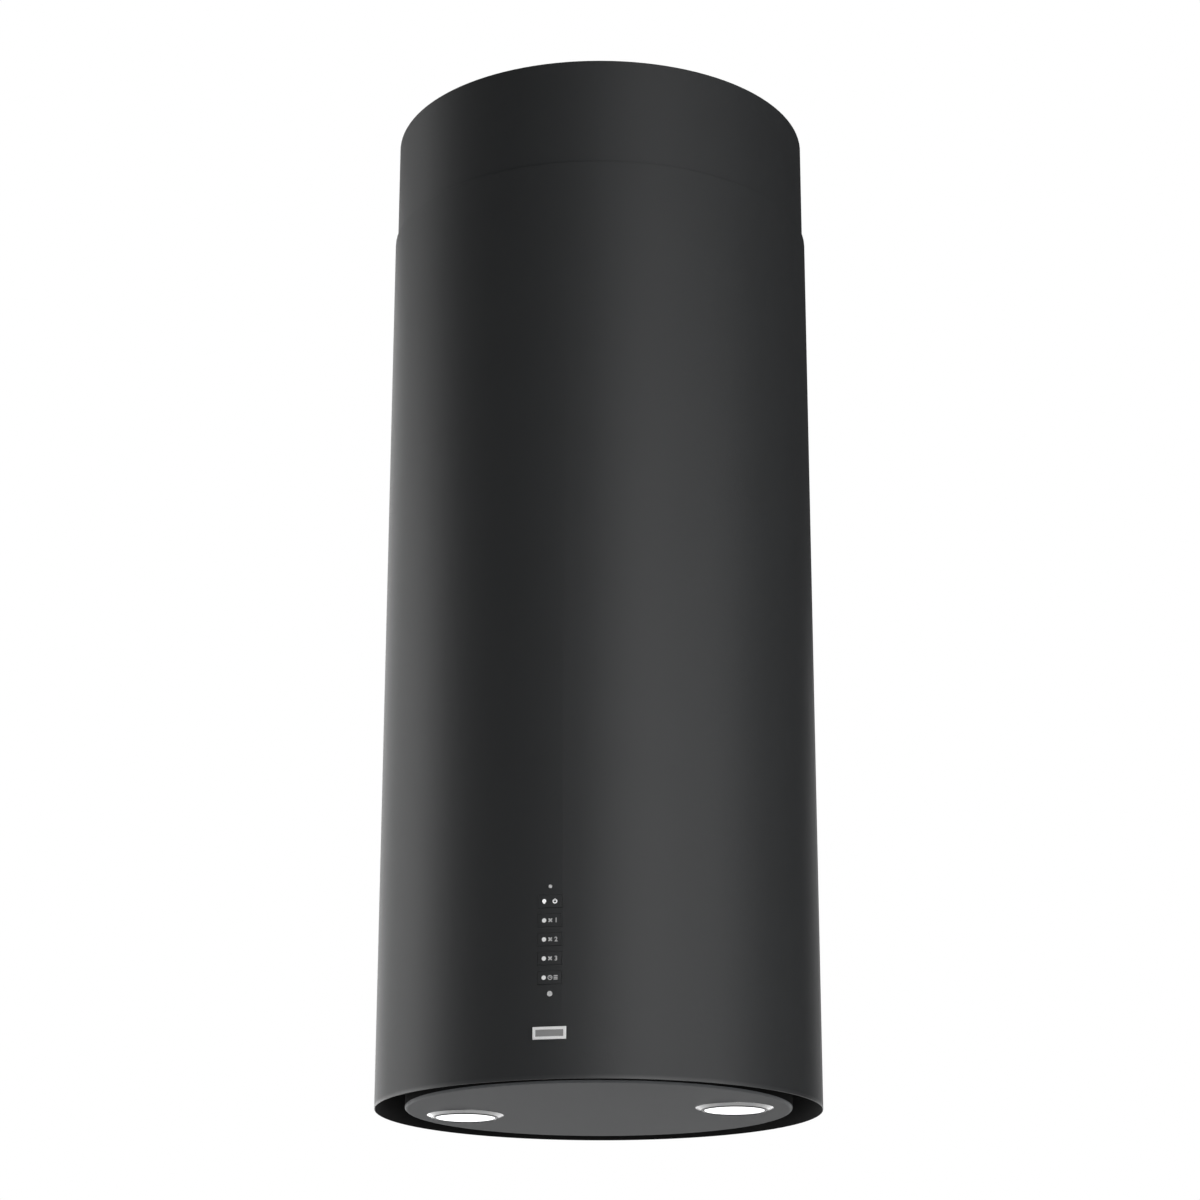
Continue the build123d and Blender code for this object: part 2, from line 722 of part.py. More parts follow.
def filter_frame():
    outline = RectangleRounded(2 * FILTER_X, 2 * FILTER_Y, TRAY_ROUND)
    frame = extrude(Pos(0, 0, up(FILTER_H)) * outline, FILTER_T)
    inner_x = FILTER_X - FILTER_BAR
    inner_y = FILTER_Y - FILTER_BAR
    frame -= block((-inner_x, inner_x), (-inner_y, inner_y), (up(FILTER_H - FILTER_T), up(DECK_TOP_H)))
    seat_z = up(FILTER_H + MESH_RISE)
    seat_x = inner_x + MESH_SEAT
    seat_y = inner_y + MESH_SEAT
    frame -= block((-seat_x, seat_x), (-seat_y, seat_y), (seat_z, seat_z + MESH_T))
    return frame - latch_channel()


def latch_channel():
    """The hollow of the latch in the front bar: a channel, a way out for the bolt and a grip slot."""
    half = LATCH_W / 2 + FIT_GAP
    low = up(CHANNEL_H)
    high = low + LATCH_T + 2 * FIT_GAP
    channel = block((-half, half), (CHANNEL_FRONT_Y, CHANNEL_FRONT_Y + CHANNEL_DEPTH), (low, high))
    bolt_half = BOLT_W / 2 + FIT_GAP
    channel += block((-bolt_half, bolt_half), (-FILTER_Y - SHEET, CHANNEL_FRONT_Y + SHEET), (low, high))
    grip_half = GRIP_W / 2 + FIT_GAP
    grip_front = LATCH_FRONT_Y
    grip_back = grip_front + SHEET + GRIP_T + LATCH_TRAVEL + FIT_GAP
    return channel + block((-grip_half, grip_half), (grip_front, grip_back), (up(FILTER_H) - SHEET, high))


def filter_latch():
    low = up(CHANNEL_H) + FIT_GAP
    high = low + LATCH_T
    body = block((-LATCH_W / 2, LATCH_W / 2), (LATCH_FRONT_Y, LATCH_FRONT_Y + LATCH_DEPTH), (low, high))
    bolt_deep = (-FILTER_Y - BOLT_REACH, LATCH_FRONT_Y + SHEET)
    bolt = block((-BOLT_W / 2, BOLT_W / 2), bolt_deep, (low + FIT_GAP, high - SHEET))
    nose = bolt.edges().filter_by(Axis.X).group_by(Axis.Y)[0]
    bolt = chamfer(nose, FIT_GAP)
    grip_front = LATCH_FRONT_Y + SHEET
    grip_high = (up(FILTER_H) - GRIP_DROP, high - SHEET)
    grip = block((-GRIP_W / 2, GRIP_W / 2), (grip_front, grip_front + GRIP_T), grip_high)
    grip = fillet(grip.edges().filter_by(Axis.X).group_by(Axis.Z)[0], GRIP_T / 3)
    return body + bolt + grip


def filter_mesh():
    half_x = FILTER_X - FILTER_BAR + MESH_SEAT - FIT_GAP
    half_y = FILTER_Y - FILTER_BAR + MESH_SEAT - FIT_GAP
    sheet = Rectangle(2 * half_x, 2 * half_y)
    wide = MESH_HOLE_W / 2
    deep = MESH_HOLE_D / 2
    diamond = Polygon((wide, 0), (0, deep), (-wide, 0), (0, -deep))
    step_x = MESH_HOLE_W + 2 * MESH_STRAND
    step_y = MESH_HOLE_D + MESH_STRAND
    columns = int(2 * (half_x - MESH_SEAT) / step_x)
    rows = int(2 * (half_y - MESH_SEAT) / step_y)
    grid = GridLocations(step_x, step_y, columns, rows)
    between = GridLocations(step_x, step_y, columns - 1, rows - 1)
    sheet -= [place * diamond for place in (*grid, *between)]
    seat_z = up(FILTER_H + MESH_RISE)
    return extrude(Pos(0, 0, seat_z) * sheet, MESH_T)


def filter_brackets():
    """Two hooks under the back bar of the filter and the keeper of its latch."""
    z_high = up(DECK_H)
    leg = FILTER_Y + CLEAR_GAP
    lip_low = up(FILTER_H) - FIT_GAP - TRAY_SHEET
    top = leg + TRAY_SHEET + HOOK_FLANGE
    hook = z_bracket(top, leg + TRAY_SHEET, leg - HOOK_REACH, TRAY_SHEET, z_high, lip_low, HOOK_W)
    hook -= hole(CLEAR_R, (0, hook_flange_y(), z_high), UP, HOOK_FLANGE)
    keeper_leg = -(FILTER_Y + BOLT_REACH + SHEET)
    keeper_top = -(keeper_flange_y() + HOOK_FLANGE / 2)
    lip_top = up(CHANNEL_H) + FIT_GAP
    keeper = z_bracket(keeper_top, keeper_leg - TRAY_SHEET, keeper_leg + BOLT_REACH, TRAY_SHEET, z_high,
                       lip_top - TRAY_SHEET, BOLT_W + 2 * SHEET)
    keeper -= hole(CLEAR_R, (0, -keeper_flange_y(), z_high), UP, HOOK_FLANGE)
    return [Pos(side * HOOK_X, 0, 0) * hook for side in (-1, 1)] + [keeper]


# Panel, hinge and catches


def panel_tray():
    outline = [
        (0, up(PANEL_RECESS)),
        (PANEL_R, up(PANEL_RECESS)),
        (PANEL_R, up(TRAY_TOP_H)),
        (PANEL_R - TRAY_SHEET, up(TRAY_TOP_H)),
        (PANEL_R - TRAY_SHEET, up(TRAY_FLOOR_H)),
        (0, up(TRAY_FLOOR_H)),
    ]
    tray = turned(outline, [0, TRAY_ROUND, 0, 0, TRAY_ROUND - TRAY_SHEET, 0])
    notch = hinge_cheek_out() + HINGE_NOTCH
    for side in (-1, 1):
        tray -= hole(LAMP_HOLE_R, (side * LAMP_X, 0, up(0)), UP, TRAY_DEPTH)
        hinge = side * HINGE_X
        high = (up(TRAY_FLOOR_H), up(2 * TRAY_DEPTH))
        tray -= block((hinge - notch, hinge + notch), (HINGE_Y, PANEL_R), high)
    return tray


def hinge_arm():
    """One arm of the panel: a plate with an eye, on a foot that lies on the panel floor."""
    floor = up(TRAY_FLOOR_H)
    front = HINGE_Y - HINGE_FOOT
    side = [(front, floor), (HINGE_Y, floor), (HINGE_Y, up(HINGE_H)), (HINGE_Y - HINGE_EYE_R, up(HINGE_H)),
            (front, floor + HINGE_EYE_R)]
    arm = bent_strip(side, HINGE_ARM_T)
    axis_point = (0, HINGE_Y, up(HINGE_H))
    arm += hole(HINGE_EYE_R, axis_point, RIGHT, HINGE_ARM_T)
    arm += block((-HINGE_FOOT_W, 0), (front, HINGE_Y - HINGE_EYE_R - SHEET), (floor, floor + SHEET))
    arm -= hole(HINGE_PIN_R + RUN_GAP, axis_point, RIGHT, HINGE_FOOT_W)
    return Pos(HINGE_X, 0, 0) * arm


def hinge_bracket():
    """A forked bracket under the deck; the arm turns between its two cheeks."""
    cheek_in = HINGE_ARM_T / 2 + FIT_GAP
    cheek_out = hinge_cheek_out()
    top = up(DECK_H)
    low = up(HINGE_H)
    section = [(-cheek_out, low), (-cheek_in, low), (-cheek_in, top - SHEET), (cheek_in, top - SHEET),
               (cheek_in, low), (cheek_out, low), (cheek_out, top), (-cheek_out - HINGE_FLANGE, top),
               (-cheek_out - HINGE_FLANGE, top - SHEET), (-cheek_out, top - SHEET)]
    outline = make_face(Polyline(*section, close=True))
    fork = extrude(Plane.XZ * outline, HINGE_BRACKET_DEPTH / 2, both=True)
    for side in (-1, 1):
        middle = (side * (cheek_in + cheek_out) / 2, 0, low)
        fork += hole(HINGE_BRACKET_DEPTH / 2, middle, RIGHT, SHEET)
    fork -= hole(HINGE_PIN_R + TAPPED_GAP, (0, 0, low), RIGHT, 4 * cheek_out)
    fork -= hole(CLEAR_R, (hinge_screw_x() - HINGE_X, 0, top), UP, HINGE_FLANGE)
    return Pos(HINGE_X, HINGE_Y, 0) * fork


def hinge_pin():
    """A pin through both cheeks with a head on the outer side."""
    out = hinge_cheek_out()
    start = (HINGE_X - out - SHEET, HINGE_Y, up(HINGE_H))
    head = (HINGE_X + out, HINGE_Y, up(HINGE_H))
    return rod(HINGE_PIN_R, start, RIGHT, 2 * out + SHEET) + rod(PIN_HEAD_R, head, RIGHT, SHEET)


def catch_bracket():
    leg = -(CATCH_Y + CATCH_DEPTH / 2)
    bottom = leg + CATCH_DEPTH
    top = leg - CATCH_DEPTH
    bracket = z_bracket(top, leg, bottom, SHEET, up(DECK_H), up(MAGNET_H + MAGNET_T), CATCH_W)
    bracket -= hole(CLEAR_R, (0, -catch_flange_y(), up(DECK_H)), UP, CATCH_DEPTH)
    return Pos(CATCH_X, 0, 0) * bracket


def catch_magnet():
    half = CATCH_DEPTH / 2 - SHEET
    high = (up(MAGNET_H), up(MAGNET_H + MAGNET_T))
    body = block((-CATCH_W / 2, CATCH_W / 2), (-CATCH_Y - half, -CATCH_Y + half), high)
    body = fillet(body.edges().filter_by(Axis.Z), SHEET)
    return Pos(CATCH_X, 0, 0) * body


def catch_strike():
    leg = -(CATCH_Y - CATCH_DEPTH / 2)
    top = leg - CATCH_DEPTH
    foot = leg + CATCH_DEPTH
    strike = z_bracket(top, leg, foot, SHEET, up(MAGNET_H) - FIT_GAP, up(TRAY_FLOOR_H), CATCH_W)
    return Pos(CATCH_X, 0, 0) * strike


# Lamps


def lamp_bezel(x):
    face = up(PANEL_RECESS)
    bottom = up(BEZEL_BOTTOM_H)
    lens_r = SLEEVE_IN_R - LENS_LEDGE
    outline = [
        (lens_r, bottom + BEZEL_LIP),
        (SLEEVE_IN_R, bottom),
        (BEZEL_R, face - BEZEL_LIP),
        (BEZEL_R, face),
        (SLEEVE_R, face),
        (SLEEVE_R, up(SLEEVE_TOP_H)),
        (SLEEVE_IN_R, up(SLEEVE_TOP_H)),
        (SLEEVE_IN_R, up(LENS_LEDGE_H)),
        (lens_r, up(LENS_LEDGE_H)),
    ]
    return Pos(x, 0, 0) * turned(outline)


def lamp_lens(x):
    """A frosted lens: a shallow dome that shows through the bezel, with a flange that rests on its ledge."""
    low_r = SLEEVE_IN_R - LENS_LEDGE - FIT_GAP
    flange_r = SLEEVE_IN_R - FIT_GAP
    bottom = up(BEZEL_BOTTOM_H + BEZEL_LIP)
    ledge = up(LENS_LEDGE_H)
    top = up(LENS_TOP_H)
    tip = (0, bottom - LENS_DOME)
    dome = ThreePointArc(tip, (low_r / 2, bottom - LENS_DOME * 3 / 4), (low_r, bottom))
    back = Polyline((low_r, bottom), (low_r, ledge), (flange_r, ledge), (flange_r, top), (0, top), tip)
    return Pos(x, 0, 0) * revolve(Plane.XZ * make_face([dome, back]), Axis.Z)


def led_module(x):
    """A lamp module: a round base inside the bezel's sleeve and a row of cooling fins above it."""
    radius = SLEEVE_IN_R - FIT_GAP
    low = up(LENS_TOP_H) + FIT_GAP
    base_top = up(SINK_BASE_H)
    base = rod(radius, (0, 0, low), UP, base_top - low)
    pitch = 2 * radius / SINK_FINS
    high = up(SINK_TOP_H) - base_top
    fin = Pos(0, 0, base_top + high / 2) * Box(SINK_FIN_T, 2 * radius, high)
    fins = [Pos((place - (SINK_FINS - 1) / 2) * pitch, 0, 0) * fin for place in range(SINK_FINS)]
    limit = rod(radius, (0, 0, low), UP, 2 * SINK_TOP_H)
    return Pos(x, 0, 0) * (base + [fin & limit for fin in fins])


def lamp_clips(x):
    """Two spring strips that draw one bezel up against the panel."""
    foot = up(TRAY_FLOOR_H)
    top = up(SLEEVE_TOP_H) - CLIP_T
    inner = SLEEVE_R
    outer = SLEEVE_R + CLIP_REACH
    toe = outer + CLIP_REACH / 2
    side = [(inner, top), (inner + CLIP_T, top), (outer, foot + CLIP_T), (toe, foot + CLIP_T),
            (toe, foot), (outer - CLIP_T, foot), (inner, top - 2 * CLIP_T)]
    strip = bent_strip(side, CLIP_W) - rod(SLEEVE_R + GLUE_GAP, (0, 0, up(0)), UP, SINK_TOP_H)
    return [Pos(x, 0, 0) * strip, Pos(x, 0, 0) * mirror(strip, about=Plane.XZ)]


# Controls


def key(height):
    """A key: a cap that follows the tube, a flange that holds it behind the wall and a stem."""
    plane = Plane(origin=(0, 0, up(height)), x_dir=RIGHT, z_dir=FRONT)
    cap = extrude(plane * RectangleRounded(KEY_W, KEY_H, KEY_ROUND), TUBE_D)
    cap &= Pos(0, 0, up(height)) * Cylinder(TUBE_R + KEY_PROUD, 2 * KEY_H)
    cap -= block((-KEY_W, KEY_W), (FLANGE_BACK_Y, TUBE_D), around(height, KEY_H))
    flange_deep = (FLANGE_FRONT_Y, FLANGE_BACK_Y)
    cap += block((-FLANGE_HALF_W, FLANGE_HALF_W), flange_deep, around(height, FLANGE_HALF_H))
    half = STEM_W / 2
    stem = block((-half, half), (FLANGE_BACK_Y - SHEET / 2, STEM_END_Y), around(height, half))
    return cap + stem


def around(height, half):
    """The z bounds of a piece that reaches equally above and below a height."""
    return (up(height - half), up(height + half))


def control_outline(y, margin=0.0):
    """The outline of the control stack on a plane that faces the front."""
    middle = up((CONTROL_LOW_H + CONTROL_HIGH_H) / 2)
    high = CONTROL_HIGH_H - CONTROL_LOW_H
    outline = RectangleRounded(CONTROL_W - 2 * margin, high - 2 * margin, TRAY_ROUND)
    return Plane(origin=(0, y, middle), x_dir=RIGHT, z_dir=BACK) * outline


def stud_holes():
    """Cutters for the four studs, through the whole control stack."""
    return [hole(STUD_R + CLEAR_GAP, (x, COVER_FRONT_Y, z), BACK, 4 * COVER_DEPTH) for x, z in stud_points()]


def key_frame():
    frame = extrude(control_outline(FRAME_FRONT_Y), FRAME_BACK_Y - FRAME_FRONT_Y)
    pocket_w = FLANGE_HALF_W + FIT_GAP
    pocket_h = FLANGE_HALF_H + FIT_GAP
    window = SWITCH_W / 2 + FIT_GAP
    for height in KEY_ROWS:
        frame -= block((-pocket_w, pocket_w), (-TUBE_R, POCKET_Y), around(height, pocket_h))
        frame -= block((-window, window), (POCKET_Y - SHEET, FRAME_BACK_Y + SHEET), around(height, window))
    led = LED_W / 2 + FIT_GAP
    led_deep = (FRAME_BACK_Y - LED_T - FIT_GAP, FRAME_BACK_Y + SHEET)
    for height, radius in ((STATUS_H, STATUS_R), (SENSOR_H, SENSOR_R)):
        frame -= hole(radius + KEY_GAP, (0, FRAME_BACK_Y, up(height)), BACK, 4 * FRAME_WEB)
        frame -= block((-led, led), led_deep, around(height, led))
    for cutter in stud_holes():
        frame -= cutter
    return frame


def control_board():
    """The circuit board with five switches and two light sources."""
    board = extrude(control_outline(FRAME_BACK_Y), BOARD_T)
    half = SWITCH_W / 2
    for height in KEY_ROWS:
        board += block((-half, half), (FRAME_BACK_Y - SWITCH_T, FRAME_BACK_Y), around(height, half))
    led = LED_W / 2
    for height in (STATUS_H, SENSOR_H):
        board += block((-led, led), (FRAME_BACK_Y - LED_T, FRAME_BACK_Y), around(height, led))
    for cutter in stud_holes():
        board -= cutter
    return board


def control_cover():
    """The cover behind the board, open towards it, with a boss for each stud and a way out for the lead."""
    cover = extrude(control_outline(COVER_FRONT_Y), COVER_DEPTH)
    cover -= extrude(control_outline(COVER_FRONT_Y, COVER_WALL), COVER_DEPTH - COVER_WALL)
    bosses = [rod(BOSS_R, (x, COVER_FRONT_Y, z), BACK, COVER_DEPTH) for x, z in stud_points()]
    limit = extrude(control_outline(COVER_FRONT_Y), COVER_DEPTH)
    cover += [boss & limit for boss in bosses]
    for cutter in stud_holes():
        cover -= cutter
    return cover - hole(LEAD_R + RUN_GAP, (0, control_lead_y(), up(CONTROL_HIGH_H)), UP, 4 * COVER_WALL)


def control_nuts():
    nuts = []
    for x, z in stud_points():
        start = (x, COVER_BACK_Y, z)
        nut = hexagon(STUD_NUT_R, start, BACK, STUD_NUT_T)
        nuts.append(nut - hole(STUD_R + TAPPED_GAP, start, BACK, COVER_DEPTH))
    return nuts


def indicator_lens(height, radius):
    """A light pipe from a light source on the board to just outside the tube."""
    start = (0, FRAME_BACK_Y - LED_T - FIT_GAP, up(height))
    length = TUBE_R + LENS_PROUD + start[1]
    pipe = rod(radius, start, FRONT, length)
    front_edge = pipe.edges().filter_by(GeomType.CIRCLE).sort_by(Axis.Y)[0]
    return fillet(front_edge, LENS_PROUD)


def badge_plate():
    """The small bare plate on the front; it follows the tube."""
    outline = RectangleRounded(BADGE_W, BADGE_HIGH, BADGE_ROUND)
    blank = extrude(Plane(origin=(0, 0, up(BADGE_H)), x_dir=RIGHT, z_dir=FRONT) * outline, TUBE_D)
    inner = TUBE_R + GLUE_GAP
    ring = Cylinder(inner + BADGE_T, 2 * BADGE_HIGH) - Cylinder(inner, 2 * BADGE_HIGH)
    return blank & Pos(0, 0, up(BADGE_H)) * ring


# Blower. Its pieces are drawn facing the front: x right, y up, z towards the front, origin on the shaft.

BLOWER_PLACE = Pos(BLOWER_X, 0, up(BLOWER_H)) * Rot(90, 0, 0)


def polar(radius, angle):
    return (radius * math.cos(math.radians(angle)), radius * math.sin(math.radians(angle)))


def scroll_outline(top):
    """The spiral of three growing arcs, from the tongue round to the right wall, with the throat above."""
    step = SCROLL_STEP
    tongue_y = math.sqrt(SCROLL_R**2 - THROAT_LEFT**2)
    left_turn = math.degrees(math.atan2(tongue_y, THROAT_LEFT))
    first = ThreePointArc((THROAT_LEFT, tongue_y), polar(SCROLL_R, (left_turn + 180) / 2), (-SCROLL_R, 0))
    second_r = SCROLL_R + step
    mid = polar(second_r, 225)
    second = ThreePointArc((-SCROLL_R, 0), (step + mid[0], mid[1]), (step, -second_r))
    third_r = SCROLL_R + 2 * step
    mid = polar(third_r, 315)
    third = ThreePointArc((step, -second_r), (step + mid[0], step + mid[1]), (THROAT_RIGHT, step))
    throat = Polyline((THROAT_RIGHT, step), (THROAT_RIGHT, top), (THROAT_LEFT, top), (THROAT_LEFT, tongue_y))
    return make_face([first, second, third, throat])


def scroll_lip_screws():
    """Places of the screws through the joint lip of the two halves."""
    out = SCROLL_WALL + LIP_W / 2
    step = SCROLL_STEP
    upper_left = polar(SCROLL_R + out, 150)
    lower_left = polar(SCROLL_R + step + out, 225)
    lower_right = polar(SCROLL_R + 2 * step + out, 315)
    mid_throat = SCROLL_R + (THROAT_TOP - SCROLL_R) / 2
    return [
        upper_left,
        (step + lower_left[0], lower_left[1]),
        (step + lower_right[0], step + lower_right[1]),
        (THROAT_RIGHT + out, mid_throat),
        (THROAT_LEFT - out, mid_throat),
    ]


def scroll_half():
    """One half of the scroll, from the joint at z = 0 to the side wall, without the motor's screw holes."""
    depth = SCROLL_Y
    outer = offset(scroll_outline(THROAT_TOP), SCROLL_WALL, kind=Kind.INTERSECTION)
    lip = offset(scroll_outline(THROAT_TOP), SCROLL_WALL + LIP_W, kind=Kind.INTERSECTION)
    half = extrude(outer, depth) + extrude(lip, LIP_T)
    half -= extrude(scroll_outline(THROAT_TOP + depth), depth - SCROLL_WALL)
    half -= block((-TUBE_D, TUBE_D), (THROAT_TOP, TUBE_D), (-depth, 2 * depth))
    flange_left = THROAT_LEFT - SCROLL_WALL - FLANGE_W
    flange_right = THROAT_RIGHT + SCROLL_WALL + FLANGE_W
    flange = block((flange_left, flange_right), (THROAT_TOP - LIP_T, THROAT_TOP), (0, depth))
    half += flange - block((THROAT_LEFT, THROAT_RIGHT), (0, TUBE_D), (-depth, 2 * depth))
    half -= Pos(0, 0, depth) * Cylinder(BELL_OUT_R, depth)
    half += inlet_bell(depth)
    for x, y in scroll_lip_screws():
        half -= hole(CLEAR_R, (x, y, 0), UP, 4 * LIP_T)
    for x in (flange_left + FLANGE_W / 2, flange_right - FLANGE_W / 2):
        half -= hole(CLEAR_R, (x, THROAT_TOP, FLANGE_SCREW_Y), (0, 1, 0), 4 * LIP_T)
    return half


def inlet_bell(depth):
    """The rounded inlet ring that leads the air from the side wall into the impeller."""
    centre = (BELL_OUT_R, depth - BELL_R)
    flow = CenterArc(centre, BELL_R, 90, 90)
    back = CenterArc(centre, BELL_R - SCROLL_WALL, 90, 90)
    ends = [Line(flow @ 0, back @ 0), Line(flow @ 1, back @ 1)]
    return revolve(Plane.XZ * make_face([flow, back, *ends]), Axis.Z)


BRACKET_ANGLES = [90, 210, 330]


def scroll_front():
    half = scroll_half()
    for angle in BRACKET_ANGLES:
        half -= hole(TAPPED_R, (*polar(BRACKET_SCREW_R, angle), SCROLL_Y), UP, 2 * LIP_T)
    return BLOWER_PLACE * half


def scroll_rear():
    return BLOWER_PLACE * mirror(scroll_half(), about=Plane.XY)


def impeller_blade():
    """One forward-curved blade between two arcs."""
    middle = (IMPELLER_IN_R + IMPELLER_R) / 2
    turn = BLADE_TURN
    lower = ThreePointArc(polar(IMPELLER_IN_R, 0), polar(middle, BLADE_BELLY), polar(IMPELLER_R, BLADE_SWEEP))
    upper = Rot(0, 0, turn) * lower
    ends = [Line(lower @ 1, upper @ 1), Line(lower @ 0, upper @ 0)]
    return make_face([lower, upper, *ends])


def impeller():
    """A double-inlet wheel: a middle disc with a hub, a ring at each end and blades through all three."""
    blade = extrude(impeller_blade(), IMPELLER_HALF - RING_OVER, both=True)
    blades = [place * blade for place in PolarLocations(0, BLADE_COUNT)]
    ring = Cylinder(IMPELLER_R + RING_OVER, RING_T) - Cylinder(IMPELLER_IN_R - RING_OVER, RING_T)
    rings = [Pos(0, 0, side * (IMPELLER_HALF - RING_T / 2)) * ring for side in (-1, 1)]
    hub = rod(HUB_R, (0, 0, -HUB_BACK), UP, HUB_BACK + HUB_FRONT)
    wheel = Cylinder(IMPELLER_R - BLADE_DEPTH / 2, DISC_T) + [hub, *rings, *blades]
    wheel -= hole(SHAFT_R + TAPPED_GAP / 2, (0, 0, 0), UP, 4 * HUB_BACK)
    return BLOWER_PLACE * wheel


def motor_shaft():
    length = HUB_BACK + SCROLL_Y + BRACKET_T + SHAFT_PAST
    return BLOWER_PLACE * rod(SHAFT_R, (0, 0, -HUB_BACK), UP, length)


def motor_body():
    back = MOTOR_BACK
    front = SCROLL_Y
    body = rod(MOTOR_R, (0, 0, back), UP, front - back)
    back_edge = body.edges().filter_by(GeomType.CIRCLE).sort_by(Axis.Z)[0]
    body = fillet(back_edge, MOTOR_ROUND)
    vent = Pos(MOTOR_R, 0, (back + front) / 2) * Box(2 * VENT_DEPTH, VENT_W, VENT_LEN)
    body -= [place * vent for place in PolarLocations(0, MOTOR_VENTS)]
    body -= hole(SHAFT_R + RUN_GAP, (0, 0, 0), UP, 4 * SCROLL_Y)
    for angle in BRACKET_ANGLES:
        body -= hole(TAPPED_R, (*polar(MOTOR_SCREW_R, angle + 60), front), UP, 2 * SCREW_LEN)
    return BLOWER_PLACE * body


def motor_bracket():
    """A three-armed plate that carries the motor in the front inlet."""
    plate = Circle(MOTOR_R)
    arm = Pos(BRACKET_R / 2, 0) * SlotOverall(BRACKET_R, BRACKET_ARM_W)
    for angle in BRACKET_ANGLES:
        plate += Rot(0, 0, angle) * arm
    plate -= Circle(2 * SHAFT_R)
    for angle in BRACKET_ANGLES:
        plate -= Pos(*polar(BRACKET_SCREW_R, angle)) * Circle(CLEAR_R)
        plate -= Pos(*polar(MOTOR_SCREW_R, angle + 60)) * Circle(CLEAR_R)
    return BLOWER_PLACE * extrude(Pos(0, 0, SCROLL_Y) * plate, BRACKET_T)


# Blower plate, outlet collar and damper


def plate_rivet_y():
    return INNER_Y - UPRIGHT_LEG / 2


def plate_rivet_z():
    return up(PLATE_H - PLATE_RIVET_DROP)


def blower_plate():
    plate = block((-PLATE_X, PLATE_X), (-PLATE_Y, PLATE_Y), (up(PLATE_H), up(PLATE_TOP_H)))
    tab_high = (up(PLATE_H - PLATE_TAB_H), up(PLATE_TOP_H))
    tab = block((PLATE_X - SHEET, PLATE_X), (INNER_Y - UPRIGHT_LEG, PLATE_Y), tab_high)
    tab -= hole(RIVET_R + TAPPED_GAP, (PLATE_X, plate_rivet_y(), plate_rivet_z()), RIGHT, UPRIGHT_LEG)
    plate += four_corners(tab)
    plate -= hole(DUCT_D / 2 - OUTLET_STEP, (0, 0, up(PLATE_H)), UP, PLATE_TAB_H)
    for x, y in flange_screw_points() + collar_screw_points():
        plate -= hole(TAPPED_R, (x, y, up(PLATE_H)), UP, PLATE_TAB_H)
    return plate


def plate_rivet():
    """A rivet that joins a tab of the blower plate to an upright; it ends flush outside."""
    head = PLATE_X - SHEET
    start = (head, plate_rivet_y(), plate_rivet_z())
    return rod(RIVET_R, start, RIGHT, INNER_X - head) + rod(RIVET_HEAD_R, start, LEFT, RIVET_HEAD_T)


def flange_screw_points():
    x = THROAT_W / 2 + SCROLL_WALL + FLANGE_W / 2
    return [(side_x * x, side_y * FLANGE_SCREW_Y) for side_x in (-1, 1) for side_y in (-1, 1)]


def collar_screw_points():
    reach = (COLLAR_FLANGE_R - COLLAR_SCREW_IN) * math.sqrt(0.5)
    return [(side_x * reach, side_y * reach) for side_x in (-1, 1) for side_y in (-1, 1)]


def outlet_collar():
    base = up(PLATE_TOP_H)
    seat_high = up(DAMPER_H) - FLAP_T / 2 - SEAT_GAP
    outline = [
        (COLLAR_IN_R, base),
        (COLLAR_FLANGE_R, base),
        (COLLAR_FLANGE_R, base + COLLAR_FLANGE_T),
        (COLLAR_R, base + COLLAR_FLANGE_T),
        (COLLAR_R, base + COLLAR_H),
        (COLLAR_IN_R, base + COLLAR_H),
        (COLLAR_IN_R, seat_high),
        (COLLAR_IN_R - SEAT_W, seat_high),
        (COLLAR_IN_R - SEAT_W, seat_high - SEAT_T),
        (COLLAR_IN_R, seat_high - SEAT_T - SEAT_W),
    ]
    collar = turned(outline)
    collar -= hole(DAMPER_PIN_R + TAPPED_GAP, (0, 0, up(DAMPER_H)), BACK, DUCT_D)
    notch = BARREL_R + FLAP_GAP
    collar -= block((-notch, notch), (-COLLAR_IN_R, COLLAR_IN_R), (up(DAMPER_H) - notch, up(DAMPER_H)))
    for x, y in collar_screw_points():
        collar -= hole(CLEAR_R, (x, y, base), UP, 4 * COLLAR_FLANGE_T)
    return collar


def damper_pin():
    half = COLLAR_R - FIT_GAP
    return rod(DAMPER_PIN_R, (0, -half, up(DAMPER_H)), BACK, 2 * half)


def damper_flap():
    """Half a disc that hangs on the pin by two barrels; the left flap is the right one turned round."""
    half_disc = Circle(FLAP_R) & Pos(FLAP_EDGE_X + FLAP_R, 0) * Rectangle(2 * FLAP_R, 2 * FLAP_R)
    flap = extrude(half_disc, FLAP_T / 2, both=True)
    for start in (BARREL_INNER, -(BARREL_INNER + 2 * BARREL_LEN + BARREL_STEP)):
        flap += rod(BARREL_R, (0, start, 0), BACK, BARREL_LEN)
        flap += block((0, FLAP_EDGE_X + FLAP_T), (start, start + BARREL_LEN), (-FLAP_T / 2, FLAP_T / 2))
    flap -= hole(DAMPER_PIN_R + RUN_GAP, (0, 0, 0), BACK, DUCT_D)
    return flap


def damper_flap_right():
    return Pos(0, 0, up(DAMPER_H)) * damper_flap()


def damper_flap_left():
    return Pos(0, 0, up(DAMPER_H)) * Rot(0, 0, 180) * damper_flap()


# Electronics and leads


def carrier_screw_heights():
    return [CARRIER_LOW_H + CARRIER_SCREW_IN, CARRIER_HIGH_H - CARRIER_SCREW_IN]


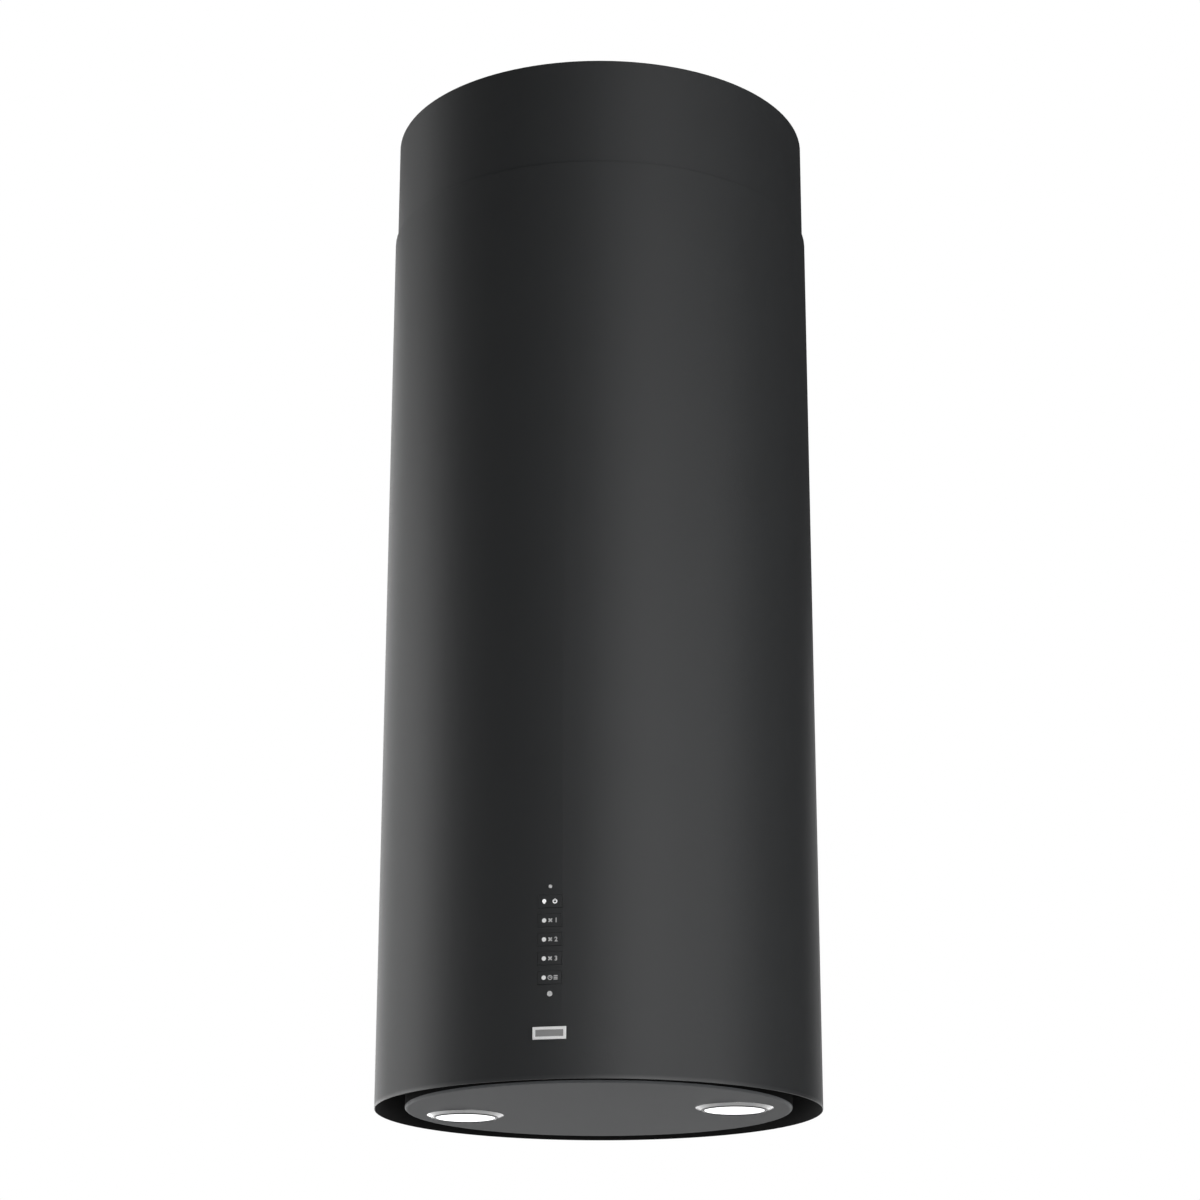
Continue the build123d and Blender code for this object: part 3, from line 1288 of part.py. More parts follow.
def electronics_carrier():
    """A sheet across the two front uprights that carries the box and the capacitor."""
    high = (up(CARRIER_LOW_H), up(CARRIER_HIGH_H))
    plate = block((-CARRIER_X, CARRIER_X), (CARRIER_FRONT_Y, -INNER_Y), high)
    plate = fillet(plate.edges().filter_by(Axis.Y), LID_ROUND)
    for x in (-CARRIER_SCREW_X, CARRIER_SCREW_X):
        for height in carrier_screw_heights():
            plate -= hole(CLEAR_R, (x, -INNER_Y, up(height)), BACK, 4 * SHEET)
    return plate


def box_outline(y, margin=0.0):
    middle = (BOX_X, y, up(BOX_LOW_H + BOX_HIGH / 2))
    outline = RectangleRounded(BOX_W - 2 * margin, BOX_HIGH - 2 * margin, LID_ROUND - margin)
    return Plane(origin=middle, x_dir=RIGHT, z_dir=BACK) * outline


def electronics_box():
    box = extrude(box_outline(BOX_FRONT_Y), BOX_DEPTH)
    box -= extrude(box_outline(BOX_FRONT_Y, BOX_WALL), BOX_DEPTH - BOX_WALL)
    top = up(BOX_LOW_H + BOX_HIGH)
    box -= hole(GLAND_R + RUN_GAP, (BOX_X, BOX_MID_Y, top), UP, 4 * BOX_WALL)
    for x in (BOX_X, BOX_X - LEAD_X):
        box -= hole(LEAD_R + RUN_GAP, (x, BOX_MID_Y, up(BOX_LOW_H)), UP, 4 * BOX_WALL)
    return box


def electronics_lid():
    lid = extrude(box_outline(BOX_FRONT_Y - LID_T), LID_T)
    return lid + extrude(box_outline(BOX_FRONT_Y, BOX_WALL + CLEAR_GAP), BOX_WALL)


def capacitor_y():
    return CARRIER_FRONT_Y - CLIP_BAND_T - CLEAR_GAP - CAPACITOR_R


def capacitor():
    """The run capacitor: a can with a rounded foot and two terminals."""
    start = (CAPACITOR_X, capacitor_y(), up(CARRIER_LOW_H + CAPACITOR_RISE))
    can = rod(CAPACITOR_R, start, UP, CAPACITOR_LEN)
    can = fillet(can.edges().filter_by(GeomType.CIRCLE), BEND_R)
    tag = Pos(start[0], start[1], start[2] + CAPACITOR_LEN) * Box(SHEET, LID_ROUND, 4 * SHEET)
    return can + [Pos(side * CAPACITOR_R / 3, 0, 0) * tag for side in (-1, 1)]


def capacitor_clip():
    """A band round the capacitor with a back that lies on the carrier."""
    inner = CAPACITOR_R + CLEAR_GAP
    outer = inner + CLIP_BAND_T
    band = Circle(outer) + Pos(0, outer / 2) * Rectangle(2 * outer, outer)
    band -= Circle(inner)
    height = up(CARRIER_LOW_H + CAPACITOR_RISE + CAPACITOR_LEN / 2)
    return extrude(Pos(CAPACITOR_X, capacitor_y(), height) * band, CLIP_BAND_H / 2, both=True)


def cable_gland():
    """The inlet for the supply cable on top of the box."""
    top = up(BOX_LOW_H + BOX_HIGH)
    centre = (BOX_X, BOX_MID_Y, top)
    gland = rod(GLAND_R, (BOX_X, BOX_MID_Y, top - 2 * BOX_WALL), UP, GLAND_H)
    gland = fillet(gland.edges().filter_by(GeomType.CIRCLE).sort_by(Axis.Z)[-1], BEND_R)
    gland += hexagon(GLAND_HEX_R, centre, UP, GLAND_HEX_T)
    return gland - hole(GLAND_BORE_R, centre, UP, 4 * GLAND_H)


def lead(points):
    """A round lead along straight runs joined by arcs."""
    path = FilletPolyline(*points, radius=LEAD_BEND_R)
    return sweep(Plane(origin=path @ 0, z_dir=path % 0) * Circle(LEAD_R), path)


def control_lead_y():
    return COVER_FRONT_Y + COVER_DEPTH / 2


def control_lead():
    """From the top of the control cover up into the bottom of the box."""
    start = up(CONTROL_HIGH_H) - COVER_WALL
    end = up(BOX_LOW_H) + BOX_WALL
    low_turn = start + (end - start) / 3
    high_turn = end - (end - start) / 3
    y = control_lead_y()
    return lead([(0, y, start), (0, y, low_turn), (BOX_X, BOX_MID_Y, high_turn), (BOX_X, BOX_MID_Y, end)])


def motor_lead():
    """From the bottom of the box back under the carrier to the front of the motor."""
    x = BOX_X - LEAD_X
    start = up(BOX_LOW_H) + BOX_WALL
    under = up(CARRIER_LOW_H - MOTOR_LEAD_DROP)
    end_x, end_z = polar(MOTOR_R - 2 * LEAD_R, 50)
    end_y = -(SCROLL_Y + BRACKET_T)
    before = (BLOWER_X + end_x, end_y - 2 * LEAD_BEND_R, up(BLOWER_H) + end_z)
    end = (BLOWER_X + end_x, end_y, up(BLOWER_H) + end_z)
    start_point = (x, BOX_MID_Y, start)
    low_point = (x, BOX_MID_Y, under)
    back_point = (x, -INNER_Y + LEAD_BEND_R, under)
    return lead([start_point, low_point, back_point, before, end])


# Screws of one size that hold the pieces of the hood


def pan_screws():
    screws = []
    for (x, y, z), sheet in deck_screws():
        screws.append(pan_screw((x, y, z - sheet), UP))
    for x, y in flange_screw_points():
        screws.append(pan_screw((x, y, up(PLATE_H) - LIP_T), UP))
    for x, y in collar_screw_points():
        screws.append(pan_screw((x, y, up(PLATE_TOP_H) + COLLAR_FLANGE_T), DOWN))
    for x in (-CARRIER_SCREW_X, CARRIER_SCREW_X):
        for height in carrier_screw_heights():
            screws.append(pan_screw((x, CARRIER_FRONT_Y, up(height)), BACK))
    blower = [pan_screw((x, y, LIP_T), DOWN) for x, y in scroll_lip_screws()]
    for angle in BRACKET_ANGLES:
        blower.append(pan_screw((*polar(BRACKET_SCREW_R, angle), SCROLL_Y + BRACKET_T), DOWN))
        blower.append(pan_screw((*polar(MOTOR_SCREW_R, angle + 60), SCROLL_Y + BRACKET_T), DOWN))
    return screws + [BLOWER_PLACE * screw for screw in blower]


def save(name, pieces):
    """Writes one node; a node of several pieces keeps them as separate solids."""
    pieces = pieces if isinstance(pieces, list) else [pieces]
    solids = [solid for piece in pieces for solid in piece.solids()]
    shape = solids[0] if len(solids) == 1 else Compound(solids)
    export_step(shape, f"parts/{name}.step")


def main():
    os.makedirs("parts", exist_ok=True)
    save("ceiling_plate", ceiling_plate())
    save("upper_tube", upper_tube())
    save("upper_uprights", four_corners(upper_upright()))
    save("ceiling_foot_screws", ceiling_foot_screws())
    save("upper_tube_screws", upper_tube_screws())
    save("lower_tube", lower_tube())
    save("filter_deck", filter_deck())
    save("lower_uprights", left_and_right(lower_upright()) + left_and_right(front_lower_upright()))
    save("deck_foot_screws", deck_foot_screws())
    save("clamp_bolts", four_corners(clamp_bolt()))
    save("clamp_nuts", four_corners(clamp_nut()))
    save("blower_plate", blower_plate())
    save("plate_rivets", four_corners(plate_rivet()))
    save("scroll_front", scroll_front())
    save("scroll_rear", scroll_rear())
    save("impeller", impeller())
    save("motor_shaft", motor_shaft())
    save("motor_body", motor_body())
    save("motor_bracket", motor_bracket())
    save("outlet_collar", outlet_collar())
    save("damper_pin", damper_pin())
    save("damper_flap_left", damper_flap_left())
    save("damper_flap_right", damper_flap_right())
    save("electronics_carrier", electronics_carrier())
    save("electronics_box", electronics_box())
    save("electronics_lid", electronics_lid())
    save("capacitor", capacitor())
    save("capacitor_clip", capacitor_clip())
    save("cable_gland", cable_gland())
    save("inner_leads", [control_lead(), motor_lead()])
    save("key_frame", key_frame())
    save("control_board", control_board())
    save("control_cover", control_cover())
    save("control_nuts", control_nuts())
    save("indicator_lenses", [indicator_lens(STATUS_H, STATUS_R), indicator_lens(SENSOR_H, SENSOR_R)])
    for row, height in enumerate(reversed(KEY_ROWS), start=1):
        save(f"key_{row}", key(height))
    save("badge_plate", badge_plate())
    save("hinge_brackets", left_and_right(hinge_bracket()))
    save("hinge_pins", left_and_right(hinge_pin()))
    save("catch_brackets", left_and_right(catch_bracket()))
    save("catch_magnets", left_and_right(catch_magnet()))
    save("filter_frame", filter_frame())
    save("filter_mesh", filter_mesh())
    save("filter_latch", filter_latch())
    save("filter_brackets", filter_brackets())
    save("panel_tray", panel_tray())
    save("hinge_arms", left_and_right(hinge_arm()))
    save("catch_strikes", left_and_right(catch_strike()))
    for side, x in (("left", -LAMP_X), ("right", LAMP_X)):
        save(f"lamp_bezel_{side}", lamp_bezel(x))
        save(f"lamp_lens_{side}", lamp_lens(x))
    save("led_modules", [led_module(-LAMP_X), led_module(LAMP_X)])
    save("lamp_clips", lamp_clips(-LAMP_X) + lamp_clips(LAMP_X))
    save("pan_screws", pan_screws())


main()
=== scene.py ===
"""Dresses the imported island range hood: finishes, filter, screws, plate and key prints, then the studio."""

import json
import logging
import math
from dataclasses import dataclass, field
from enum import Enum
from typing import Any, Dict, List, Mapping, Optional, Sequence, Tuple, Union

import bmesh
import bpy
from mathutils import Matrix, Quaternion, Vector


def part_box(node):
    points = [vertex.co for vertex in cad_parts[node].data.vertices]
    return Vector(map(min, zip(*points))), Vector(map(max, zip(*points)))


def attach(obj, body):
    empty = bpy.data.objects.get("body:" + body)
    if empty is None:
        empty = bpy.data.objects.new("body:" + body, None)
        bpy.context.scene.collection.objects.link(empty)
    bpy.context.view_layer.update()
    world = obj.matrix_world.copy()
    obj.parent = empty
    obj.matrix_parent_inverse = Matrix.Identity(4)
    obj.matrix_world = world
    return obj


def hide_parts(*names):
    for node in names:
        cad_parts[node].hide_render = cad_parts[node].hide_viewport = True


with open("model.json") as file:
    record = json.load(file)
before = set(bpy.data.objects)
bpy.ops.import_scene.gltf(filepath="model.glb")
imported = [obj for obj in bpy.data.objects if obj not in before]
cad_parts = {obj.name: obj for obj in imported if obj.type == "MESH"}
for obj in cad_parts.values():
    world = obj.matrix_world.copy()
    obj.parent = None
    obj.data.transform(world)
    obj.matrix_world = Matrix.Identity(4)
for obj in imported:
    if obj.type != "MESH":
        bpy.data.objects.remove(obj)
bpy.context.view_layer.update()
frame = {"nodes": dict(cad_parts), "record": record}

LOG = logging.getLogger("hood")
MM = 0.001
SHARP_ANGLE = math.radians(32.0)
STAND_UP = Matrix.Rotation(math.radians(90.0), 4, "X")

Colour = Tuple[float, float, float]
Point = Tuple[float, float]

MIDDLE: Point = (0.0, 0.0)
WHITE: Colour = (1.0, 1.0, 1.0)
# Near-black painted shade for the tube's inside and the panel's upturned wall, where shadow falls; the tube's
# back seam line takes it too.
SHADE_AND_SEAM_BLACK: Colour = (0.0022, 0.0022, 0.0023)
SCREEN_WHITE = 255.0
SRGB_KNEE = 0.04045
SRGB_SLOPE = 12.92
SRGB_LIFT = 0.055
SRGB_POWER = 2.4


def grey(level: float, warmth: float = 0.0) -> Colour:
    """Gives the linear colour of a grey as it is seen on a screen.

    Args:
        level: screen grey from 0 to 255.
        warmth: how much redder than blue it is, in the same units.

    Returns:
        Linear red, green and blue.
    """
    tinted = (level + warmth, level, level - warmth)
    return tuple(screen_to_linear(value / SCREEN_WHITE) for value in tinted)


def screen_to_linear(value: float) -> float:
    """Turns one screen value into linear light.

    Args:
        value: the screen value, from 0 to 1.

    Returns:
        The linear value, from 0 to 1.
    """
    if value <= SRGB_KNEE:
        return value / SRGB_SLOPE
    return ((value + SRGB_LIFT) / (1.0 + SRGB_LIFT)) ** SRGB_POWER


def scaled(colour: Colour, share: float) -> Colour:
    """Gives a colour made darker or lighter."""
    return tuple(min(1.0, value * share) for value in colour)


class Body(Enum):
    """Bodies of the frame that new pieces ride on."""

    CEILING = "ceiling_frame"
    HOOD = "hood"
    KEY = "key_{}"


class Slot(Enum):
    """Material slots of the record."""

    TUBE = "tube_skin"
    PANEL = "panel_skin"
    ZINC = "zinc_sheet"
    FASTENER = "fastener"
    BLACK = "black_plastic"
    GREY = "grey_plastic"
    BLOWER = "blower_plastic"
    KEY = "key_cap"
    MOTOR = "motor_steel"
    RING = "bright_ring"
    LENS = "lamp_lens"
    PIPE = "light_pipe"
    SINK = "sink"
    FILTER = "filter_alu"
    BOARD = "board"
    MAGNET = "magnet"
    PLATE = "plate"
    LEAD = "lead"


class Wire:
    """An output socket of a shader; arithmetic with it adds Math nodes."""

    def __init__(self, shader: "Shader", socket: bpy.types.NodeSocket) -> None:
        """Keeps the shader and the socket.

        Args:
            shader: the shader that new nodes go into.
            socket: the output socket that this wire carries.
        """
        self.shader = shader
        self.socket = socket

    def math(self, operation: str, *operands: "Feed") -> "Wire":
        """Adds one Math node.

        Args:
            operation: Blender's name of the operation.
            operands: what goes into the node, in order.

        Returns:
            The result of the node.
        """
        return self.shader.add("ShaderNodeMath", {"operation": operation}, dict(enumerate(operands)))

    def __add__(self, other: "Feed") -> "Wire":
        """Adds."""
        return self.math("ADD", self, other)

    def __radd__(self, other: "Feed") -> "Wire":
        """Adds, from the right."""
        return self.math("ADD", other, self)

    def __sub__(self, other: "Feed") -> "Wire":
        """Takes away."""
        return self.math("SUBTRACT", self, other)

    def __rsub__(self, other: "Feed") -> "Wire":
        """Is taken away from a number."""
        return self.math("SUBTRACT", other, self)

    def __mul__(self, other: "Feed") -> "Wire":
        """Multiplies."""
        return self.math("MULTIPLY", self, other)

    def __rmul__(self, other: "Feed") -> "Wire":
        """Multiplies, from the right."""
        return self.math("MULTIPLY", other, self)

    def __truediv__(self, other: "Feed") -> "Wire":
        """Divides."""
        return self.math("DIVIDE", self, other)

    def __rtruediv__(self, other: "Feed") -> "Wire":
        """Divides a number."""
        return self.math("DIVIDE", other, self)

    def __pow__(self, other: "Feed") -> "Wire":
        """Raises to a power."""
        return self.math("POWER", self, other)

    def __rpow__(self, other: "Feed") -> "Wire":
        """Raises a number to this power."""
        return self.math("POWER", other, self)

    def __lt__(self, other: "Feed") -> "Wire":
        """Is 1 where it is less."""
        return self.math("LESS_THAN", self, other)

    def __gt__(self, other: "Feed") -> "Wire":
        """Is 1 where it is greater."""
        return self.math("GREATER_THAN", self, other)

    def __abs__(self) -> "Wire":
        """Drops the sign."""
        return self.math("ABSOLUTE", self)

    def sine(self) -> "Wire":
        """Gives a wave from 0 to 1."""
        return self.math("SINE", self) * 0.5 + 0.5

    def either(self, other: "Wire") -> "Wire":
        """Is the greater of two masks."""
        return self.math("MAXIMUM", self, other)

    def clipped(self) -> "Wire":
        """Keeps the value between 0 and 1."""
        return self.math("MINIMUM", self.math("MAXIMUM", self, 0.0), 1.0)


Feed = Union[float, Sequence[float], Wire]


class Shader:
    """One material, built from nodes that are added through one method."""

    def __init__(self, name: str, holder: Optional[bpy.types.ID] = None) -> None:
        """Starts an empty material, or an empty world.

        Args:
            name: the material's name.
            holder: a world that takes the nodes in place of a new material.
        """
        self.material = holder or bpy.data.materials.new(name)
        self.material.use_nodes = True
        self.tree = self.material.node_tree
        self.tree.nodes.clear()

    def add(
        self,
        kind: str,
        settings: Optional[Mapping[str, Any]] = None,
        sockets: Optional[Mapping[Union[int, str], Feed]] = None,
        output: Union[int, str] = 0,
    ) -> Wire:
        """Adds one node of any type.

        Args:
            kind: Blender's type name of the node.
            settings: the node's own settings; "stops" holds a ramp's places and colours.
            sockets: values or wires for its inputs, by name or number.
            output: the output that is wanted.

        Returns:
            That output.
        """
        node = self.tree.nodes.new(kind)
        for key, value in (settings or {}).items():
            if key == "stops":
                self._set_stops(node, value)
            else:
                setattr(node, key, value)
        for key, value in (sockets or {}).items():
            if isinstance(value, Wire):
                self.tree.links.new(value.socket, node.inputs[key])
            else:
                node.inputs[key].default_value = value
        return Wire(self, node.outputs[output] if node.outputs else None)

    @staticmethod
    def _set_stops(node: bpy.types.Node, stops: Sequence[Tuple[float, Colour]]) -> None:
        """Sets the stops of a colour ramp.

        Args:
            node: the ramp.
            stops: place and colour of each stop.
        """
        elements = node.color_ramp.elements
        while len(elements) < len(stops):
            elements.new(1.0)
        for element, (place, colour) in zip(elements, stops):
            element.position = place
            element.color = (*colour, 1.0)

    def place(self) -> Wire:
        """Gives the piece's own coordinates, in metres."""
        return self.add("ShaderNodeTexCoord", output="Object")

    def moved(self, scale: Sequence[float], location: Sequence[float] = (0, 0, 0)) -> Wire:
        """Gives the piece's coordinates, shifted and scaled.

        Args:
            scale: factor along each axis.
            location: shift, after the scale.

        Returns:
            The new coordinates.
        """
        sockets = {"Vector": self.place(), "Scale": scale, "Location": location}
        return self.add("ShaderNodeMapping", sockets=sockets)

    def axes(self) -> List[Wire]:
        """Gives x, y and z of the piece's own coordinates."""
        parts = self.add("ShaderNodeSeparateXYZ", sockets={0: self.place()})
        return [Wire(self, socket) for socket in parts.socket.node.outputs]

    def from_axis(self, axis: Point) -> Wire:
        """Gives the distance from an upright axis.

        Args:
            axis: x and y of the axis.

        Returns:
            The distance, in metres.
        """
        x, y, _ = self.axes()
        across = x - axis[0]
        along = y - axis[1]
        return (across * across + along * along) ** 0.5

    def noise(self, size: float, detail: float = 2.0, vector: Optional[Wire] = None) -> Wire:
        """Gives noise from 0 to 1.

        Args:
            size: how large its patches are, in metres.
            detail: how many finer layers it has.
            vector: coordinates other than the piece's own.

        Returns:
            The noise.
        """
        sockets = {"Vector": vector or self.place(), "Scale": 1.0 / size, "Detail": detail}
        return self.add("ShaderNodeTexNoise", sockets=sockets)

    def shade(self, factor: Feed, first: Feed, second: Feed) -> Wire:
        """Mixes two colours.

        Args:
            factor: 0 gives the first and 1 the second.
            first: a colour.
            second: another colour.

        Returns:
            The mixed colour.
        """
        colours = [(*c, 1.0) if isinstance(c, tuple) else c for c in (first, second)]
        sockets = {0: factor, 6: colours[0], 7: colours[1]}
        return self.add("ShaderNodeMix", {"data_type": "RGBA"}, sockets, 2)

    def bump(self, height: Wire, depth: float, strength: float = 1.0) -> Wire:
        """Gives a bumped normal.

        Args:
            height: the relief, from 0 to 1.
            depth: how deep it is, in metres.
            strength: how much of it shows.

        Returns:
            The normal.
        """
        sockets = {"Height": height, "Distance": depth, "Strength": strength}
        return self.add("ShaderNodeBump", sockets=sockets)

    def surface(self, **sockets: Feed) -> bpy.types.Material:
        """Ends the material with a Principled surface.

        Args:
            sockets: its inputs, with _ for the spaces in their names.

        Returns:
            The finished material.
        """
        named = {}
        for key, value in sockets.items():
            is_colour = isinstance(value, tuple) and len(value) == 3
            named[key.replace("_", " ")] = (*value, 1.0) if is_colour else value
        shader = self.add("ShaderNodeBsdfPrincipled", sockets=named)
        return self.close(shader)

    def close(self, shader: Wire) -> bpy.types.Material:
        """Links a shader to the material's output.

        Args:
            shader: what the surface is.

        Returns:
            The finished material.
        """
        self.add("ShaderNodeOutputMaterial", sockets={"Surface": shader})
        return self.material


@dataclass(frozen=True)
class PowderCoat:
    """Matte powder coat on sheet: a fine grain, a slight orange peel and a faint mottle."""

    name: str
    colour: Colour
    roughness: float
    sheen: float = 0.4
    grain: float = 0.5 * MM
    peel: float = 4.0 * MM
    mottle: float = 60.0 * MM
    relief: float = 0.12 * MM
    darkest: float = 0.90
    lightest: float = 1.10
    mottle_share: float = 0.6
    grain_share: float = 0.6
    gloss_span: float = 0.10

    def coat(self, shader: Shader) -> Dict[str, Feed]:
        """Gives the sockets of the coat.

        Args:
            shader: the material they are made in.

        Returns:
            The Principled inputs of the coat.
        """
        grain = shader.noise(self.grain, detail=3.0)
        peel = shader.noise(self.peel, detail=1.0)
        mottle = shader.noise(self.mottle)
        tone = mottle * self.mottle_share + grain * (1.0 - self.mottle_share)
        height = grain * self.grain_share + peel * (1.0 - self.grain_share)
        dark = scaled(self.colour, self.darkest)
        light = scaled(self.colour, self.lightest)
        return {
            "Base_Color": shader.shade(tone.clipped(), dark, light),
            "Roughness": self.roughness - self.gloss_span / 2 + self.gloss_span * grain,
            "Specular_IOR_Level": self.sheen,
            "Normal": shader.bump(height, self.relief),
        }

    def material(self) -> bpy.types.Material:
        """Makes the material."""
        shader = Shader(self.name)
        return shader.surface(**self.coat(shader))


@dataclass(frozen=True)
class TubeCoat(PowderCoat):
    """Powder coat of a rolled tube: near-black painted shade inside, a hairline seam down the back, a painted
    highlight along the lower edge.
    """

    skin_r: float = 184.5 * MM
    foot_z: float = 0.0
    # Painted highlight along the lower edge: the height of its band and how much lighter the colour becomes.
    highlight_band: float = 3.4 * MM
    highlight_lift: float = 1.05
    polish: float = 0.65
    polish_roughness: float = 0.4
    # Near-black painted shade of the tube's inside; the back seam line uses the same colour.
    inside: Colour = SHADE_AND_SEAM_BLACK
    inside_dulling: float = 0.4
    seam: float = 0.35 * MM

    def material(self) -> bpy.types.Material:
        """Makes the material.

        Returns:
            The finished material.
        """
        shader = Shader(self.name)
        sockets = self.coat(shader)
        x, y, z = shader.axes()
        # Painted shade: faces nearer the axis than the outer skin, the inside of the tube, are painted
        # near-black where shadow falls.
        inner = shader.from_axis(MIDDLE) < self.skin_r
        seam = (abs(x) < self.seam) * (y > 0.0)
        dark = inner.either(seam)
        # Painted highlight: the colour grows lighter towards the lower edge, standing in for light caught by
        # the rim.
        edge = (1.0 - (z - self.foot_z) / self.highlight_band).clipped()
        skin = shader.shade(edge, sockets["Base_Color"], scaled(self.colour, self.highlight_lift))
        # The inside's painted shade and the seam line both take the near-black colour.
        sockets["Base_Color"] = shader.shade(dark, skin, self.inside)
        sockets["Roughness"] = (sockets["Roughness"] + dark * self.inside_dulling).clipped()
        polish = edge * (1.0 - dark) * self.polish
        return shader.surface(**sockets, Coat_Weight=polish, Coat_Roughness=self.polish_roughness)


@dataclass(frozen=True)
class PanelCoat(PowderCoat):
    """Powder coat of the round panel: a painted highlight on the rounded edge, and near-black painted shade
    on the upturned wall above it.
    """

    wall_r: float = 158.0 * MM
    wall_z: float = 0.0
    # Near-black painted shade on the upturned wall, which faces into the dark gap.
    wall: Colour = SHADE_AND_SEAM_BLACK
    wall_dulling: float = 0.3
    # Painted highlight on the rounded edge: its width and how much lighter the colour becomes.
    highlight_band: float = 1.2 * MM
    highlight_lift: float = 2.0

    def material(self) -> bpy.types.Material:
        """Makes the material.

        Returns:
            The finished material.
        """
        shader = Shader(self.name)
        sockets = self.coat(shader)
        z = shader.axes()[2]
        beyond = shader.from_axis(MIDDLE) - self.wall_r
        # Painted shade: the upturned wall above the turn is painted near-black where shadow falls in the gap.
        wall = (beyond > 0.0) * (z > self.wall_z)
        # Painted highlight: the rounded edge is lightened, standing in for the light it catches.
        edge = (1.0 + beyond / self.highlight_band).clipped()
        skin = shader.shade(edge, sockets["Base_Color"], scaled(self.colour, self.highlight_lift))
        sockets["Base_Color"] = shader.shade(wall, skin, self.wall)
        sockets["Roughness"] = sockets["Roughness"] + wall * self.wall_dulling
        return shader.surface(**sockets)


@dataclass(frozen=True)
class GalvanisedSheet:
    """Zinc-coated steel sheet with faint crystal spangles."""

    name: str
    colour: Colour
    spangle: float = 9.0 * MM
    stain: float = 45.0 * MM
    grain: float = 0.4 * MM
    relief: float = 0.002 * MM
    darkest: float = 0.72
    spangle_share: float = 0.6
    bare: float = 0.55
    roughness: float = 0.36
    spangle_gloss: float = 0.16
    stain_gloss: float = 0.08

    def material(self) -> bpy.types.Material:
        """Makes the material.

        Returns:
            The finished material.
        """
        shader = Shader(self.name)
        sockets = {"Vector": shader.place(), "Scale": 1.0 / self.spangle}
        cells = shader.add("ShaderNodeTexVoronoi", sockets=sockets, output="Color")
        tone = shader.add("ShaderNodeSeparateColor", sockets={0: cells})
        stain = shader.noise(self.stain, detail=3.0)
        mixed = tone * self.spangle_share + stain * (1.0 - self.spangle_share)
        return shader.surface(
            Base_Color=shader.shade(mixed.clipped(), scaled(self.colour, self.darkest), self.colour),
            Metallic=self.bare,
            Roughness=self.roughness + self.spangle_gloss * tone + self.stain_gloss * stain,
            Normal=shader.bump(shader.noise(self.grain), self.relief),
        )


@dataclass(frozen=True)
class PlatedSteel:
    """Bright plated steel of screws, pins and clips, with fine handling marks."""

    name: str
    colour: Colour
    roughness: float = 0.28
    cloud: float = 3.0 * MM
    scratch: float = 0.4 * MM
    scratch_run: float = 0.12
    relief: float = 0.004 * MM
    darkest: float = 0.8
    cloud_gloss: float = 0.12
    scratch_gloss: float = 0.06

    def material(self) -> bpy.types.Material:
        """Makes the material.

        Returns:
            The finished material.
        """
        shader = Shader(self.name)
        cloud = shader.noise(self.cloud, detail=3.0)
        drawn = shader.moved((1.0, 1.0, self.scratch_run))
        scratch = shader.noise(self.scratch, vector=drawn)
        return shader.surface(
            Base_Color=shader.shade(cloud, scaled(self.colour, self.darkest), self.colour),
            Metallic=1.0,
            Roughness=self.roughness + self.cloud_gloss * cloud + self.scratch_gloss * scratch,
            Normal=shader.bump(scratch, self.relief),
        )


@dataclass(frozen=True)
class MouldedPlastic:
    """Moulded plastic with a spark-eroded grain."""

    name: str
    colour: Colour
    roughness: float = 0.5
    grain: float = 0.35 * MM
    relief: float = 0.02 * MM
    flow: float = 35.0 * MM
    flow_share: float = 0.7
    darkest: float = 0.85
    lightest: float = 1.12
    gloss_span: float = 0.12

    def material(self) -> bpy.types.Material:
        """Makes the material.

        Returns:
            The finished material.
        """
        shader = Shader(self.name)
        grain = shader.noise(self.grain, detail=3.0)
        flow = shader.noise(self.flow)
        tone = flow * self.flow_share + grain * (1.0 - self.flow_share)
        dark = scaled(self.colour, self.darkest)
        light = scaled(self.colour, self.lightest)
        return shader.surface(
            Base_Color=shader.shade(tone.clipped(), dark, light),
            Roughness=self.roughness - self.gloss_span / 2 + self.gloss_span * grain,
            Normal=shader.bump(grain, self.relief),
        )


@dataclass(frozen=True)
class TurnedRing:
    """Satin plated ring, turned on a lathe: fine grooves run round its axis, and painted shade darkens its
    inner edge.
    """

    name: str
    colour: Colour
    axis: Point
    # Radius and colour of the painted shade on the ring's inner edge, standing in for the shadow line between
    # lens and ring.
    lip_shade_r: float
    lip_shade: Colour = grey(34)
    pitch: float = 0.35 * MM
    cloud: float = 5.0 * MM
    relief: float = 0.002 * MM
    darkest: float = 0.88
    roughness: float = 0.16
    cloud_gloss: float = 0.05
    groove_gloss: float = 0.03

    def material(self) -> bpy.types.Material:
        """Makes the material.

        Returns:
            The finished material.
        """
        shader = Shader(self.name)
        radius = shader.from_axis(self.axis)
        groove = (radius * (2.0 * math.pi / self.pitch)).sine()
        cloud = shader.noise(self.cloud)
        satin = shader.shade(cloud, scaled(self.colour, self.darkest), self.colour)
        return shader.surface(
            # Painted shade: near-black on the inner edge of the ring, out to its radius.
            Base_Color=shader.shade(radius < self.lip_shade_r, satin, self.lip_shade),
            Metallic=1.0,
            Roughness=self.roughness + self.cloud_gloss * cloud + self.groove_gloss * groove,
            Normal=shader.bump(groove, self.relief),
        )


